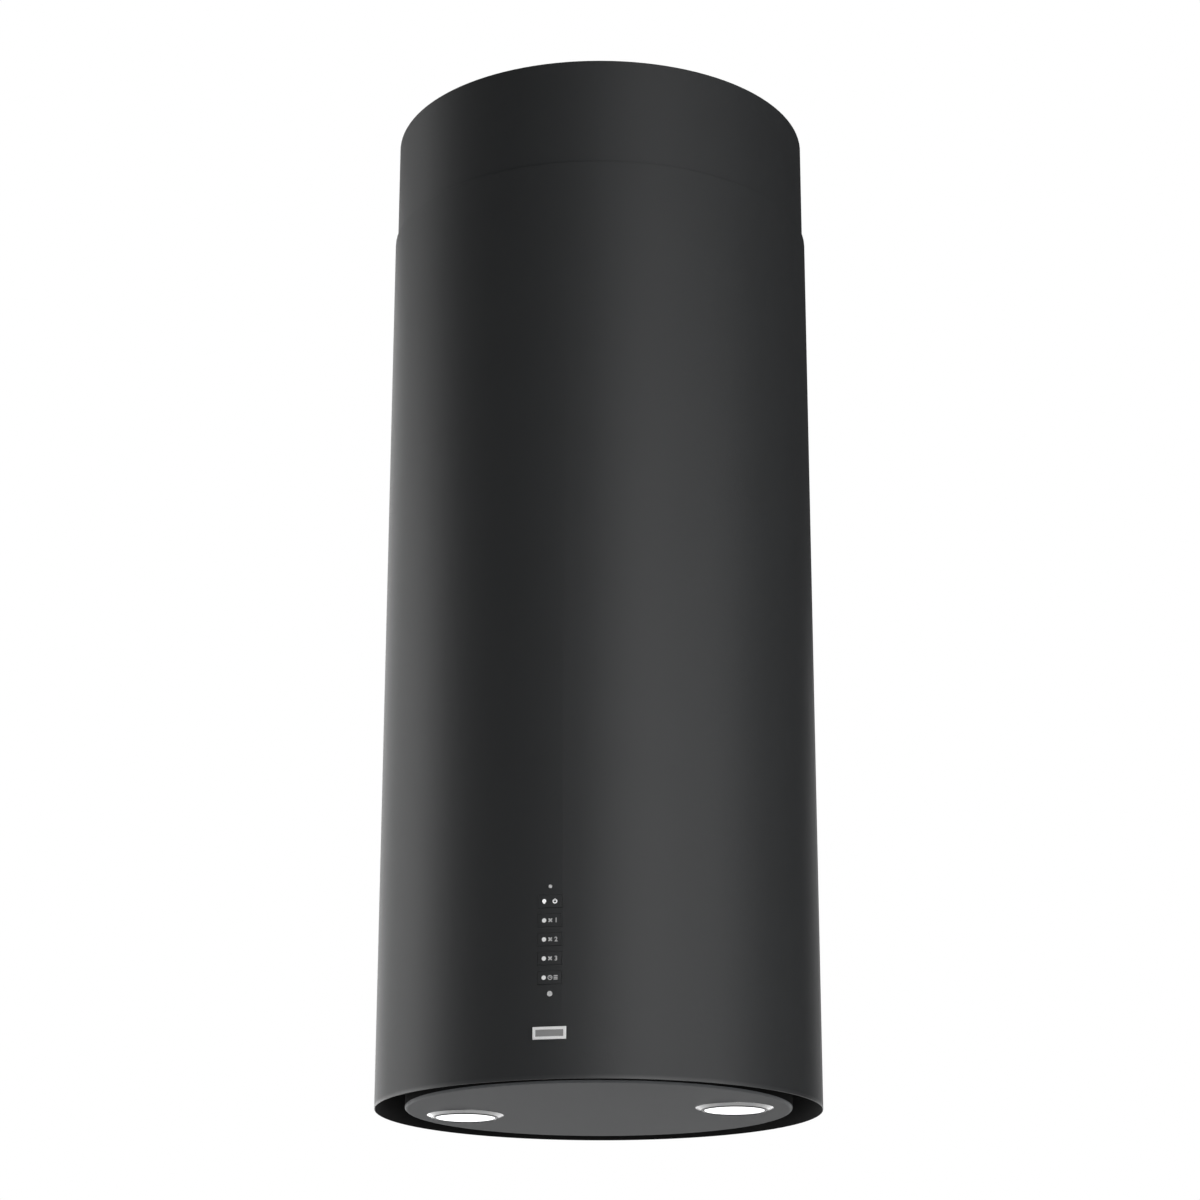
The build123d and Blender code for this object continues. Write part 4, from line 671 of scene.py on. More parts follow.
@dataclass(frozen=True)
class BrushedMetal:
    """Aluminium brushed along X."""

    name: str
    colour: Colour
    roughness: float = 0.32
    bare: float = 1.0
    line: float = 0.12 * MM
    line_run: float = 0.02
    line_share: float = 0.6
    line_gloss: float = 0.10
    cloud: float = 8.0 * MM
    relief: float = 0.004 * MM
    darkest: float = 0.86

    def material(self) -> bpy.types.Material:
        """Makes the material.

        Returns:
            The finished material.
        """
        shader = Shader(self.name)
        drawn = shader.moved((self.line_run, 1.0, 1.0))
        lines = shader.noise(self.line, vector=drawn)
        cloud = shader.noise(self.cloud)
        tone = lines * self.line_share + cloud * (1.0 - self.line_share)
        return shader.surface(
            Base_Color=shader.shade(tone.clipped(), scaled(self.colour, self.darkest), self.colour),
            Metallic=self.bare,
            Roughness=self.roughness + self.line_gloss * lines,
            Normal=shader.bump(lines, self.relief),
        )


@dataclass(frozen=True)
class FrostedLens:
    """Frosted lens, lit from behind: bright in the middle and a little dimmer towards its edge."""

    name: str
    axis: Point
    radius: float
    glow: float
    middle_light: Colour = (1.0, 0.995, 0.98)
    edge_light: Colour = (0.62, 0.64, 0.66)
    edge_power: float = 6.0
    dark_glass: Colour = (0.86, 0.87, 0.88)
    pale_glass: Colour = (0.92, 0.93, 0.94)
    frost: float = 0.6 * MM
    relief: float = 0.01 * MM
    roughness: float = 0.30
    frost_gloss: float = 0.12

    def material(self) -> bpy.types.Material:
        """Makes the material.

        Returns:
            The finished material.
        """
        shader = Shader(self.name)
        reach = (shader.from_axis(self.axis) / self.radius).clipped()
        frost = shader.noise(self.frost)
        return shader.surface(
            Base_Color=shader.shade(frost, self.dark_glass, self.pale_glass),
            Roughness=self.roughness + self.frost_gloss * frost,
            Emission_Color=shader.shade(reach ** self.edge_power, self.middle_light, self.edge_light),
            Emission_Strength=self.glow,
            Normal=shader.bump(frost, self.relief),
        )


@dataclass(frozen=True)
class LitMark:
    """Printed or lit mark on a key: a speckled ink with a little light of its own."""

    name: str
    colour: Colour
    glow: float
    speck: float = 0.25 * MM
    darkest: float = 0.86
    roughness: float = 0.42
    speck_gloss: float = 0.1

    def material(self) -> bpy.types.Material:
        """Makes the material.

        Returns:
            The finished material.
        """
        shader = Shader(self.name)
        speck = shader.noise(self.speck)
        ink = shader.shade(speck, scaled(self.colour, self.darkest), self.colour)
        return shader.surface(
            Base_Color=ink,
            Roughness=self.roughness + self.speck_gloss * speck,
            Emission_Color=ink,
            Emission_Strength=self.glow,
        )


@dataclass(frozen=True)
class CircuitBoard:
    """Green masked board with faint copper runs."""

    name: str
    mask: Colour
    run: Colour
    pitch: float = 2.4 * MM
    bend: float = 14.0 * MM
    sway: float = 9.0
    run_level: float = 0.78
    run_relief: float = 0.02 * MM
    cloud: float = 2.0 * MM
    roughness: float = 0.34
    cloud_gloss: float = 0.12

    def material(self) -> bpy.types.Material:
        """Makes the material.

        Returns:
            The finished material.
        """
        shader = Shader(self.name)
        z = shader.axes()[2]
        bend = shader.noise(self.bend, detail=1.0)
        runs = (z * (2.0 * math.pi / self.pitch) + bend * self.sway).sine() > self.run_level
        return shader.surface(
            Base_Color=shader.shade(runs, self.mask, self.run),
            Roughness=self.roughness + self.cloud_gloss * shader.noise(self.cloud),
            Normal=shader.bump(runs, self.run_relief),
        )


@dataclass(frozen=True)
class SoftSheath:
    """Soft sheath of the leads, with a faint grain."""

    name: str
    colour: Colour
    grain: float = 0.8 * MM
    relief: float = 0.02 * MM
    darkest: float = 0.8
    roughness: float = 0.55
    grain_gloss: float = 0.15

    def material(self) -> bpy.types.Material:
        """Makes the material.

        Returns:
            The finished material.
        """
        shader = Shader(self.name)
        grain = shader.noise(self.grain)
        return shader.surface(
            Base_Color=shader.shade(grain, scaled(self.colour, self.darkest), self.colour),
            Roughness=self.roughness + self.grain_gloss * grain,
            Normal=shader.bump(grain, self.relief),
        )


def smooth_by_angle(mesh: bmesh.types.BMesh) -> None:
    """Shades faces smooth and keeps the edges of sharp corners.

    Args:
        mesh: the mesh to be shaded.
    """
    for face in mesh.faces:
        face.smooth = True
    for edge in mesh.edges:
        edge.smooth = edge.calc_face_angle(0.0) < SHARP_ANGLE


def finish_piece(
    name: str,
    mesh: bmesh.types.BMesh,
    materials: Sequence[bpy.types.Material],
    body: str,
    stands_for: Sequence[str] = (),
) -> bpy.types.Object:
    """Turns a mesh into a piece that rides on a body.

    Args:
        name: the piece's name.
        mesh: its shape, at its place in the frame; it is freed.
        materials: its materials, by the number that the faces carry.
        body: the body it rides on.
        stands_for: the nodes that it replaces.

    Returns:
        The new object.
    """
    smooth_by_angle(mesh)
    data = bpy.data.meshes.new(name)
    mesh.to_mesh(data)
    mesh.free()
    for material in materials:
        data.materials.append(material)
    piece = bpy.data.objects.new(name, data)
    bpy.context.scene.collection.objects.link(piece)
    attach(piece, body)
    if stands_for:
        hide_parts(*stands_for)
    LOG.info("%s: %d faces on %s", name, len(data.polygons), body)
    return piece


def dress_node(name: str, material: bpy.types.Material) -> None:
    """Gives a node of the frame its finish.

    Args:
        name: the node.
        material: its finish.
    """
    node = frame["nodes"][name]
    node.data.materials.clear()
    node.data.materials.append(material)
    LOG.info("%s: %s", name, material.name)


def new_verts(made: Mapping[str, Any]) -> List[bmesh.types.BMVert]:
    """Picks the vertices out of what a bmesh operator made."""
    return [item for item in made["geom"] if isinstance(item, bmesh.types.BMVert)]


def open_edges(mesh: bmesh.types.BMesh) -> List[bmesh.types.BMEdge]:
    """Finds the edges with a face on one side only."""
    return [edge for edge in mesh.edges if edge.is_boundary]


def wrap_on_tube(mesh: bmesh.types.BMesh, radius: float, height: float) -> None:
    """Lays a flat drawing on the front of a tube.

    The drawing has x to the right, z up and y as the depth, outwards negative.

    Args:
        mesh: the drawing.
        radius: radius of the face that it lies on.
        height: z of the drawing's middle.
    """
    for vert in mesh.verts:
        reach = radius - vert.co.y
        angle = vert.co.x / radius
        vert.co = Vector((reach * math.sin(angle), -reach * math.cos(angle), vert.co.z + height))


def raise_print(mesh: bmesh.types.BMesh, thick: float) -> None:
    """Gives flat marks their thickness, outwards.

    Args:
        mesh: flat faces on the plane y = 0.
        thick: how far they stand out.
    """
    raised = bmesh.ops.extrude_face_region(mesh, geom=mesh.faces[:])
    bmesh.ops.translate(mesh, verts=new_verts(raised), vec=(0.0, -thick, 0.0))
    bmesh.ops.recalc_face_normals(mesh, faces=mesh.faces[:])


@dataclass
class MarkSheet:
    """A flat sheet of marks, drawn with x to the right and z up, in millimetres."""

    round_steps: int = 28
    figure_share: float = 0.69
    figure_weight: float = 0.12 * MM
    figure_steps: int = 3
    mesh: bmesh.types.BMesh = field(default_factory=bmesh.new)

    def _tag(self, verts: Sequence[bmesh.types.BMVert], ink: int) -> None:
        """Gives the faces of new vertices their ink.

        Args:
            verts: the vertices of one mark.
            ink: number of its material.
        """
        for face in {face for vert in verts for face in vert.link_faces}:
            face.material_index = ink

    def dot(
        self, centre: Point, radius: float, ink: int, stretch: Point = (1.0, 1.0), turn: float = 0.0
    ) -> None:
        """Draws a round or oval dot.

        Args:
            centre: its middle.
            radius: its radius.
            ink: number of its material.
            stretch: factors along x and z.
            turn: turn about the middle of the sheet's mark, in degrees.
        """
        oval = Matrix.Diagonal((stretch[0], 1.0, stretch[1], 1.0))
        place = Matrix.Translation((centre[0] * MM, 0.0, centre[1] * MM))
        swing = Matrix.Rotation(math.radians(turn), 4, "Y")
        made = bmesh.ops.create_circle(
            self.mesh,
            cap_ends=True,
            segments=self.round_steps,
            radius=radius * MM,
            matrix=place @ swing @ oval @ STAND_UP,
        )
        self._tag(made["verts"], ink)

    def bar(self, low: Point, high: Point, ink: int) -> None:
        """Draws an upright bar.

        Args:
            low: its lower left corner.
            high: its upper right corner.
            ink: number of its material.
        """
        size = Matrix.Diagonal(((high[0] - low[0]) * MM, 1.0, (high[1] - low[1]) * MM, 1.0))
        place = Matrix.Translation(((low[0] + high[0]) / 2 * MM, 0.0, (low[1] + high[1]) / 2 * MM))
        made = bmesh.ops.create_grid(
            self.mesh, x_segments=1, y_segments=1, size=0.5, matrix=place @ size @ STAND_UP
        )
        self._tag(made["verts"], ink)

    def arc(self, centre: Point, radius: float, width: float, span: Point, ink: int) -> None:
        """Draws an arc of a ring.

        Args:
            centre: its middle.
            radius: radius of its middle line.
            width: width of the line.
            span: first and last angle in degrees, from the top, clockwise.
            ink: number of its material.
        """
        middle = Vector((centre[0] * MM, 0.0, centre[1] * MM))
        start = math.radians(span[0])
        aim = Vector((math.sin(start), 0.0, math.cos(start)))
        ends = [self.mesh.verts.new(middle + aim * (radius + side * width / 2) * MM) for side in (-1, 1)]
        line = self.mesh.edges.new(ends)
        sweep = math.radians(span[1] - span[0])
        full = abs(span[1] - span[0]) >= 360.0
        before = set(self.mesh.faces)
        bmesh.ops.spin(
            self.mesh,
            geom=[*ends, line],
            cent=middle,
            axis=(0.0, 1.0, 0.0),
            angle=sweep,
            steps=self.round_steps,
            use_merge=full,
        )
        for face in set(self.mesh.faces) - before:
            face.material_index = ink

    def text(self, words: str, size: float, centre: Point, ink: int) -> None:
        """Writes a number.

        Args:
            words: the number.
            size: its height in millimetres.
            centre: its middle.
            ink: number of its material.
        """
        curve = bpy.data.curves.new("mark", "FONT")
        curve.body = words
        curve.size = size / self.figure_share * MM
        curve.resolution_u = self.figure_steps
        curve.offset = self.figure_weight
        letter = bpy.data.objects.new("mark", curve)
        flat = bpy.data.meshes.new_from_object(letter)
        low = Vector((min(v.co.x for v in flat.vertices), min(v.co.y for v in flat.vertices), 0.0))
        high = Vector((max(v.co.x for v in flat.vertices), max(v.co.y for v in flat.vertices), 0.0))
        flat.transform(Matrix.Translation(-(low + high) / 2))
        flat.transform(STAND_UP)
        flat.transform(Matrix.Translation((centre[0] * MM, 0.0, centre[1] * MM)))
        before = set(self.mesh.faces)
        self.mesh.from_mesh(flat)
        for face in set(self.mesh.faces) - before:
            face.material_index = ink
        bpy.data.objects.remove(letter)
        bpy.data.curves.remove(curve)
        bpy.data.meshes.remove(flat)


class Ink(Enum):
    """Inks of the key prints, by material number."""

    BRIGHT = 0
    DIM = 1
    VIVID = 2


@dataclass
class KeyPrints:
    """Marks on the five keys: a lit window on the left and a printed sign on the right."""

    face_r: float = 185.3 * MM
    thick: float = 0.05 * MM
    window_x: float = -4.7
    window_r: float = 1.75
    sign_x: float = 0.3
    number_x: float = 4.9
    bright: LitMark = LitMark("window_light", grey(208), glow=0.4)
    dim: LitMark = LitMark("sign_print", grey(180), glow=0.2)
    vivid: LitMark = LitMark("lamp_light", grey(228), glow=0.6)

    def build(self) -> None:
        """Builds the print of every key."""
        inks = [ink.material() for ink in (self.bright, self.dim, self.vivid)]
        signs = [self.lamp_and_power, self.fan_one, self.fan_two, self.fan_three, self.clock]
        for count, sign in enumerate(signs, start=1):
            key = Body.KEY.value.format(count)
            low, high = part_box(key)
            sheet = MarkSheet()
            sign(sheet)
            raise_print(sheet.mesh, self.thick)
            wrap_on_tube(sheet.mesh, self.face_r, (low.z + high.z) / 2)
            finish_piece(f"print_{key}", sheet.mesh, inks, key)

    def window(self, sheet: MarkSheet) -> None:
        """Draws the lit window of one key."""
        sheet.dot((self.window_x, 0.0), self.window_r, Ink.BRIGHT.value)

    def lamp_and_power(self, sheet: MarkSheet) -> None:
        """Draws a lamp and a power sign.

        Args:
            sheet: where the marks go.
        """
        ink = Ink.VIVID.value
        bulb_lift, bulb_r = 0.35, 1.6
        base_half, base_low, base_high = 0.75, -1.75, -1.2
        power_x, power_r, power_line, power_gap = 3.9, 1.5, 0.75, 40.0
        stroke_half, stroke_low, stroke_high = 0.35, 0.2, 2.1
        sheet.dot((self.window_x, bulb_lift), bulb_r, ink)
        sheet.bar((self.window_x - base_half, base_low), (self.window_x + base_half, base_high), ink)
        sheet.arc((power_x, 0.0), power_r, power_line, (power_gap, 360.0 - power_gap), ink)
        sheet.bar((power_x - stroke_half, stroke_low), (power_x + stroke_half, stroke_high), ink)

    def fan(self, sheet: MarkSheet, number: str) -> None:
        """Draws a small fan and the number of its speed.

        Args:
            sheet: where the marks go.
            number: the speed.
        """
        self.window(sheet)
        ink = Ink.DIM.value
        blade_out, blade_r, blade_shape = 1.05, 0.95, (1.0, 0.62)
        hub_r, number_tall = 0.42, 3.5
        for turn in (45.0, 135.0, 225.0, 315.0):
            aim = math.radians(turn)
            centre = (self.sign_x + blade_out * math.cos(aim), blade_out * math.sin(aim))
            sheet.dot(centre, blade_r, ink, blade_shape, -turn)
        sheet.dot((self.sign_x, 0.0), hub_r, ink)
        sheet.text(number, number_tall, (self.number_x, 0.0), ink)

    def fan_one(self, sheet: MarkSheet) -> None:
        """Draws the first speed."""
        self.fan(sheet, "1")

    def fan_two(self, sheet: MarkSheet) -> None:
        """Draws the second speed."""
        self.fan(sheet, "2")

    def fan_three(self, sheet: MarkSheet) -> None:
        """Draws the third speed."""
        self.fan(sheet, "3")

    def clock(self, sheet: MarkSheet) -> None:
        """Draws a clock for the run-on time.

        Args:
            sheet: where the marks go.
        """
        self.window(sheet)
        ink = Ink.DIM.value
        x = self.sign_x
        dial_r, dial_line = 1.6, 0.6
        minute_half, minute_end = 0.25, 1.2
        hour_half, hour_end = 0.2, 1.1
        rung_start, rung_end, rung_half, rung_pitch = 2.9, 6.0, 0.4, 1.3
        sheet.arc((x, 0.0), dial_r, dial_line, (0.0, 360.0), ink)
        sheet.bar((x - minute_half, -minute_half), (x + minute_half, minute_end), ink)
        sheet.bar((x + minute_half, -hour_half), (x + hour_end, hour_half), ink)
        for step in (-1, 0, 1):
            level = step * rung_pitch
            sheet.bar((x + rung_start, level - rung_half), (x + rung_end, level + rung_half), ink)


@dataclass
class BadgePlate:
    """The small bare plate on the front: a near-white frame, a painted reflection of its satin metal, round a
    plain sunk field, with broken edges.
    """

    rim: float = 2.1 * MM
    wall: float = 0.15 * MM
    sunk: float = 0.22 * MM
    thick: float = 0.8 * MM
    chamfer: float = 0.12 * MM
    square: float = math.radians(80.0)
    strips: int = 24
    # Painted reflection: the frame is a near-white non-metal, standing in for the bright reflection of satin
    # metal.
    frame_painted_reflection: BrushedMetal = BrushedMetal("plate_frame_painted_reflection", grey(254), roughness=0.40, bare=0.0)
    field_metal: BrushedMetal = BrushedMetal("plate_field", grey(150), roughness=0.46, bare=0.0)

    def build(self) -> None:
        """Builds the plate flat and lays it on the tube."""
        low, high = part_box("badge_plate")
        wide = high.x - low.x
        mesh = self.blank(wide, high.z - low.z)
        self.break_edges(mesh)
        self.cut_strips(mesh, wide)
        wrap_on_tube(mesh, -low.y, (low.z + high.z) / 2)
        metals = [self.frame_painted_reflection.material(), self.field_metal.material()]
        finish_piece("bare_plate", mesh, metals, Body.HOOD.value, ["badge_plate"])

    def blank(self, wide: float, tall: float) -> bmesh.types.BMesh:
        """Makes the flat plate with its sunk field.

        Args:
            wide: its size along x.
            tall: its size along z.

        Returns:
            A closed mesh with its front on the plane y = 0.
        """
        mesh = bmesh.new()
        size = Matrix.Diagonal((wide, 1.0, tall, 1.0))
        bmesh.ops.create_grid(mesh, x_segments=1, y_segments=1, size=0.5, matrix=size @ STAND_UP)
        sunk_face = mesh.faces[:]
        for step in (self.rim, self.wall):
            bmesh.ops.inset_region(
                mesh, faces=sunk_face, thickness=step, use_even_offset=True, use_boundary=True
            )
        for vert in sunk_face[0].verts:
            vert.co.y += self.sunk
        sunk_face[0].material_index = 1
        skirt = bmesh.ops.extrude_edge_only(mesh, edges=open_edges(mesh))
        bmesh.ops.translate(mesh, verts=new_verts(skirt), vec=(0.0, self.thick, 0.0))
        bmesh.ops.holes_fill(mesh, edges=open_edges(mesh), sides=0)
        bmesh.ops.recalc_face_normals(mesh, faces=mesh.faces[:])
        return mesh

    def break_edges(self, mesh: bmesh.types.BMesh) -> None:
        """Takes the sharpness off the outer edges of the front.

        Args:
            mesh: the flat plate.
        """
        front = [edge for edge in mesh.edges if min(vert.co.y for vert in edge.verts) < self.thick / 2]
        outer = [edge for edge in front if edge.calc_face_angle(0.0) > self.square]
        bmesh.ops.bevel(
            mesh, geom=outer, offset=self.chamfer, affect="EDGES", segments=1, profile=0.5, material=-1
        )

    def cut_strips(self, mesh: bmesh.types.BMesh, wide: float) -> None:
        """Cuts the flat plate into strips, so that it can follow the tube.

        Args:
            mesh: the flat plate.
            wide: its size along x.
        """
        for step in range(1, self.strips):
            place = ((step / self.strips - 0.5) * wide, 0.0, 0.0)
            geom = mesh.verts[:] + mesh.edges[:] + mesh.faces[:]
            bmesh.ops.bisect_plane(mesh, geom=geom, plane_co=place, plane_no=(1.0, 0.0, 0.0))


@dataclass
class FilterMesh:
    """Grease filter of two layers of expanded aluminium, one turned across the other."""

    long_way: float = 11.0 * MM
    short_way: float = 5.6 * MM
    strand: float = 0.55 * MM
    sheet: float = 0.45 * MM
    least_hole: float = 0.55
    metal: BrushedMetal = BrushedMetal("expanded_aluminium", grey(228), roughness=0.34, bare=0.7)

    def build(self) -> None:
        """Builds both layers in the place of the plain sheet."""
        low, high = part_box("filter_mesh")
        mesh = bmesh.new()
        self.layer(mesh, low, high, low.z, (self.long_way, self.short_way))
        self.layer(mesh, low, high, high.z - self.sheet, (self.short_way, self.long_way))
        bmesh.ops.recalc_face_normals(mesh, faces=mesh.faces[:])
        metals = [self.metal.material()]
        finish_piece("filter_layers", mesh, metals, Body.HOOD.value, ["filter_mesh"])

    def layer(self, mesh: bmesh.types.BMesh, low: Vector, high: Vector, foot: float, ways: Point) -> None:
        """Adds one layer of diamonds.

        Args:
            mesh: where the layer goes.
            low: lowest corner of the filter's sheet.
            high: highest corner of the sheet.
            foot: z of the layer's lower face.
            ways: width of one diamond along x and y.
        """
        sheet = self.diamonds(low, high, foot, ways)
        self.trim(sheet, low, high)
        self.open_holes(sheet, ways)
        data = bpy.data.meshes.new("layer")
        sheet.to_mesh(data)
        sheet.free()
        mesh.from_mesh(data)
        bpy.data.meshes.remove(data)

    @staticmethod
    def diamonds(low: Vector, high: Vector, foot: float, ways: Point) -> bmesh.types.BMesh:
        """Makes a flat sheet of diamonds that is larger than the filter.

        Args:
            low: lowest corner of the filter's sheet.
            high: highest corner of the sheet.
            foot: z of the layer's lower face.
            ways: width of one diamond along x and y.

        Returns:
            The flat sheet.
        """
        sheet = bmesh.new()
        half_x, half_y = (high.x - low.x) / 2, (high.y - low.y) / 2
        rows = 2 * math.ceil(half_x / ways[0] + half_y / ways[1])
        turn = Matrix.Rotation(math.radians(45.0), 4, "Z")
        stretch = Matrix.Diagonal((ways[0], ways[1], 1.0, 1.0))
        side = rows / 2 / math.sqrt(2.0)
        place = Matrix.Translation(((low.x + high.x) / 2, (low.y + high.y) / 2, foot))
        bmesh.ops.create_grid(
            sheet, x_segments=rows, y_segments=rows, size=side, matrix=place @ stretch @ turn
        )
        return sheet

    @staticmethod
    def trim(sheet: bmesh.types.BMesh, low: Vector, high: Vector) -> None:
        """Cuts the sheet to the size of the filter.

        Args:
            sheet: the flat sheet.
            low: lowest corner of the filter's sheet.
            high: highest corner of the sheet.
        """
        for corner, aim in ((low, -1.0), (high, 1.0)):
            for normal in ((aim, 0.0, 0.0), (0.0, aim, 0.0)):
                geom = sheet.verts[:] + sheet.edges[:] + sheet.faces[:]
                bmesh.ops.bisect_plane(sheet, geom=geom, plane_co=corner, plane_no=normal, clear_outer=True)

    def open_holes(self, sheet: bmesh.types.BMesh, ways: Point) -> None:
        """Opens the diamonds and gives the strands between them their thickness.

        Args:
            sheet: the flat sheet.
            ways: width of one diamond along x and y.
        """
        whole = ways[0] * ways[1] / 2
        holes = [face for face in sheet.faces if face.calc_area() > self.least_hole * whole]
        bmesh.ops.inset_individual(sheet, faces=holes, thickness=self.strand, use_even_offset=True)
        bmesh.ops.delete(sheet, geom=holes, context="FACES_ONLY")
        raised = bmesh.ops.extrude_face_region(sheet, geom=sheet.faces[:])
        bmesh.ops.translate(sheet, verts=new_verts(raised), vec=(0.0, 0.0, self.sheet))


@dataclass
class SocketScrews:
    """Screws whose heads get the hexagonal sockets that their plain solids leave out."""

    bodies: Dict[str, Body] = field(default_factory=lambda: {
        "pan_screws": Body.HOOD,
        "deck_foot_screws": Body.HOOD,
        "upper_tube_screws": Body.CEILING,
        "ceiling_foot_screws": Body.CEILING,
    })
    sides: int = 6
    corner_share: float = 0.56
    depth: float = 1.4 * MM
    draft: float = 0.05 * MM
    weld: float = 0.001 * MM
    flat_angle: float = math.radians(0.5)
    least_corners: int = 12
    round_within: float = 0.02 * MM

    def build(self) -> None:
        """Builds each set of screws in the place of its plain solids."""
        for name, body in self.bodies.items():
            node = frame["nodes"][name]
            mesh = bmesh.new()
            mesh.from_mesh(node.data)
            bmesh.ops.remove_doubles(mesh, verts=mesh.verts[:], dist=self.weld)
            bmesh.ops.dissolve_limit(
                mesh, angle_limit=self.flat_angle, verts=mesh.verts[:], edges=mesh.edges[:]
            )
            for cap in self.caps(mesh):
                self.sink(mesh, cap)
            metals = node.data.materials[:]
            finish_piece(f"socket_{name}", mesh, metals, body.value, [name])

    def caps(self, mesh: bmesh.types.BMesh) -> List[bmesh.types.BMFace]:
        """Finds the flat end of each head, which is the largest disc of its screw.

        Args:
            mesh: one or more separate screws.

        Returns:
            One face for each screw.
        """
        seen = set()
        found = []
        for first in mesh.faces:
            if first in seen:
                continue
            screw = [first]
            seen.add(first)
            for face in screw:
                near = [other for edge in face.edges for other in edge.link_faces]
                fresh = [other for other in dict.fromkeys(near) if other not in seen]
                seen.update(fresh)
                screw.extend(fresh)
            found.append(max(filter(self.is_disc, screw), key=lambda face: face.calc_area()))
        return found

    def is_disc(self, face: bmesh.types.BMFace) -> bool:
        """Tells whether the corners of a face lie on one circle.

        Args:
            face: a flat face of a screw.

        Returns:
            True for a disc.
        """
        middle = face.calc_center_median()
        reaches = [(vert.co - middle).length for vert in face.verts]
        return len(reaches) >= self.least_corners and max(reaches) - min(reaches) < self.round_within

    def sink(self, mesh: bmesh.types.BMesh, cap: bmesh.types.BMFace) -> None:
        """Sinks a hexagonal socket into the end of one head.

        Args:
            mesh: the screws.
            cap: the flat end of the head.
        """
        middle = cap.calc_center_median()
        right = cap.normal.orthogonal().normalized()
        up = cap.normal.cross(right)
        reach = (cap.verts[0].co - middle).length
        corner = reach * self.corner_share
        side = 2.0 * math.pi / self.sides
        snap = math.pi / len(cap.verts)
        bmesh.ops.inset_individual(mesh, faces=[cap], thickness=reach - corner)
        for vert in cap.verts:
            arm = vert.co - middle
            turn = math.atan2(arm.dot(up), arm.dot(right))
            nearest = round(turn / side) * side
            if abs(turn - nearest) <= snap:
                turn = nearest
            radius = corner * math.cos(side / 2) / math.cos(turn % side - side / 2)
            vert.co = middle + (right * math.cos(turn) + up * math.sin(turn)) * radius
        bmesh.ops.inset_individual(mesh, faces=[cap], thickness=self.draft, depth=-self.depth)


@dataclass
class Spots:
    """The two lamps of the panel: turned rings round lit lenses."""

    sides: Tuple[str, str] = ("left", "right")
    ring_colour: Colour = grey(232)
    # Width of the painted shade on the ring, beyond the lens.
    lip_shade: float = 1.9 * MM
    glow: float = 1.25

    def dress(self) -> None:
        """Gives rings and lenses their finishes, each about its own axis."""
        for side in self.sides:
            low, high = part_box(f"lamp_lens_{side}")
            axis = ((low.x + high.x) / 2, (low.y + high.y) / 2)
            lens_r = (high.x - low.x) / 2
            lens = FrostedLens(f"frosted_lens_{side}", axis, lens_r, self.glow)
            ring = TurnedRing(f"turned_ring_{side}", self.ring_colour, axis, lens_r + self.lip_shade)
            dress_node(f"lamp_lens_{side}", lens.material())
            dress_node(f"lamp_bezel_{side}", ring.material())


@dataclass
class Finishes:
    """The finish of each slot, and of the nodes that need one of their own."""

    tube_colour: Colour = grey(44, -1.0)
    panel_colour: Colour = grey(74, -1.5)
    skin_roughness: float = 0.5
    tube_sheen: float = 0.35
    panel_sheen: float = 0.12
    panel_turn: float = 2.0 * MM
    skins: Dict[str, float] = field(
        default_factory=lambda: {"lower_tube": 184.5 * MM, "upper_tube": 182.5 * MM}
    )

    def tube(self, name: str) -> TubeCoat:
        """Gives the finish of one of the tubes.

        Args:
            name: the tube's node.

        Returns:
            Its powder coat.
        """
        return TubeCoat(
            f"{name}_coat",
            self.tube_colour,
            self.skin_roughness,
            self.tube_sheen,
            skin_r=self.skins[name],
            foot_z=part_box(name)[0].z,
        )

    def panel(self) -> PanelCoat:
        """Gives the finish of the panel.

        Returns:
            Its powder coat.
        """
        return PanelCoat(
            "panel_coat",
            self.panel_colour,
            self.skin_roughness,
            self.panel_sheen,
            wall_z=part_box("panel_tray")[0].z + self.panel_turn,
        )

    def by_slot(self) -> Dict[Slot, bpy.types.Material]:
        """Makes the material of each slot.

        Returns:
            The materials of all slots whose nodes have no finish of their own.
        """
        makers = {
            Slot.PANEL: self.panel(),
            Slot.ZINC: GalvanisedSheet("zinc_spangle", grey(212)),
            Slot.FASTENER: PlatedSteel("plated_steel", grey(196)),
            Slot.BLACK: MouldedPlastic("black_moulding", grey(40)),
            Slot.GREY: MouldedPlastic("grey_moulding", grey(168)),
            Slot.BLOWER: MouldedPlastic("blower_moulding", grey(104)),
            Slot.KEY: PowderCoat("key_coat", self.tube_colour, self.skin_roughness, self.tube_sheen),
            Slot.MOTOR: PowderCoat("motor_paint", grey(118), roughness=0.4, sheen=0.5),
            Slot.PIPE: LitMark("light_pipe_tip", grey(190), glow=0.2),
            Slot.SINK: BrushedMetal("extruded_aluminium", grey(222), roughness=0.36, bare=0.8),
            Slot.FILTER: BrushedMetal("filter_aluminium", grey(228), roughness=0.36, bare=0.7),
            Slot.BOARD: CircuitBoard("green_board", mask=(0.012, 0.075, 0.030), run=(0.03, 0.14, 0.055)),
            Slot.MAGNET: MouldedPlastic(
                "ferrite", grey(72), roughness=0.42, grain=0.2 * MM, relief=0.01 * MM
            ),
            Slot.LEAD: SoftSheath("lead_sheath", grey(140)),
        }
        return {slot: maker.material() for slot, maker in makers.items()}

    def dress(self) -> None:
        """Dresses every node of the frame by its slot."""
        made = self.by_slot()
        for part in frame["record"]["subparts"]:
            name = part["node"]
            slot = Slot(part["material_slot"])
            if name in self.skins:
                dress_node(name, self.tube(name).material())
            elif slot in made:
                dress_node(name, made[slot])


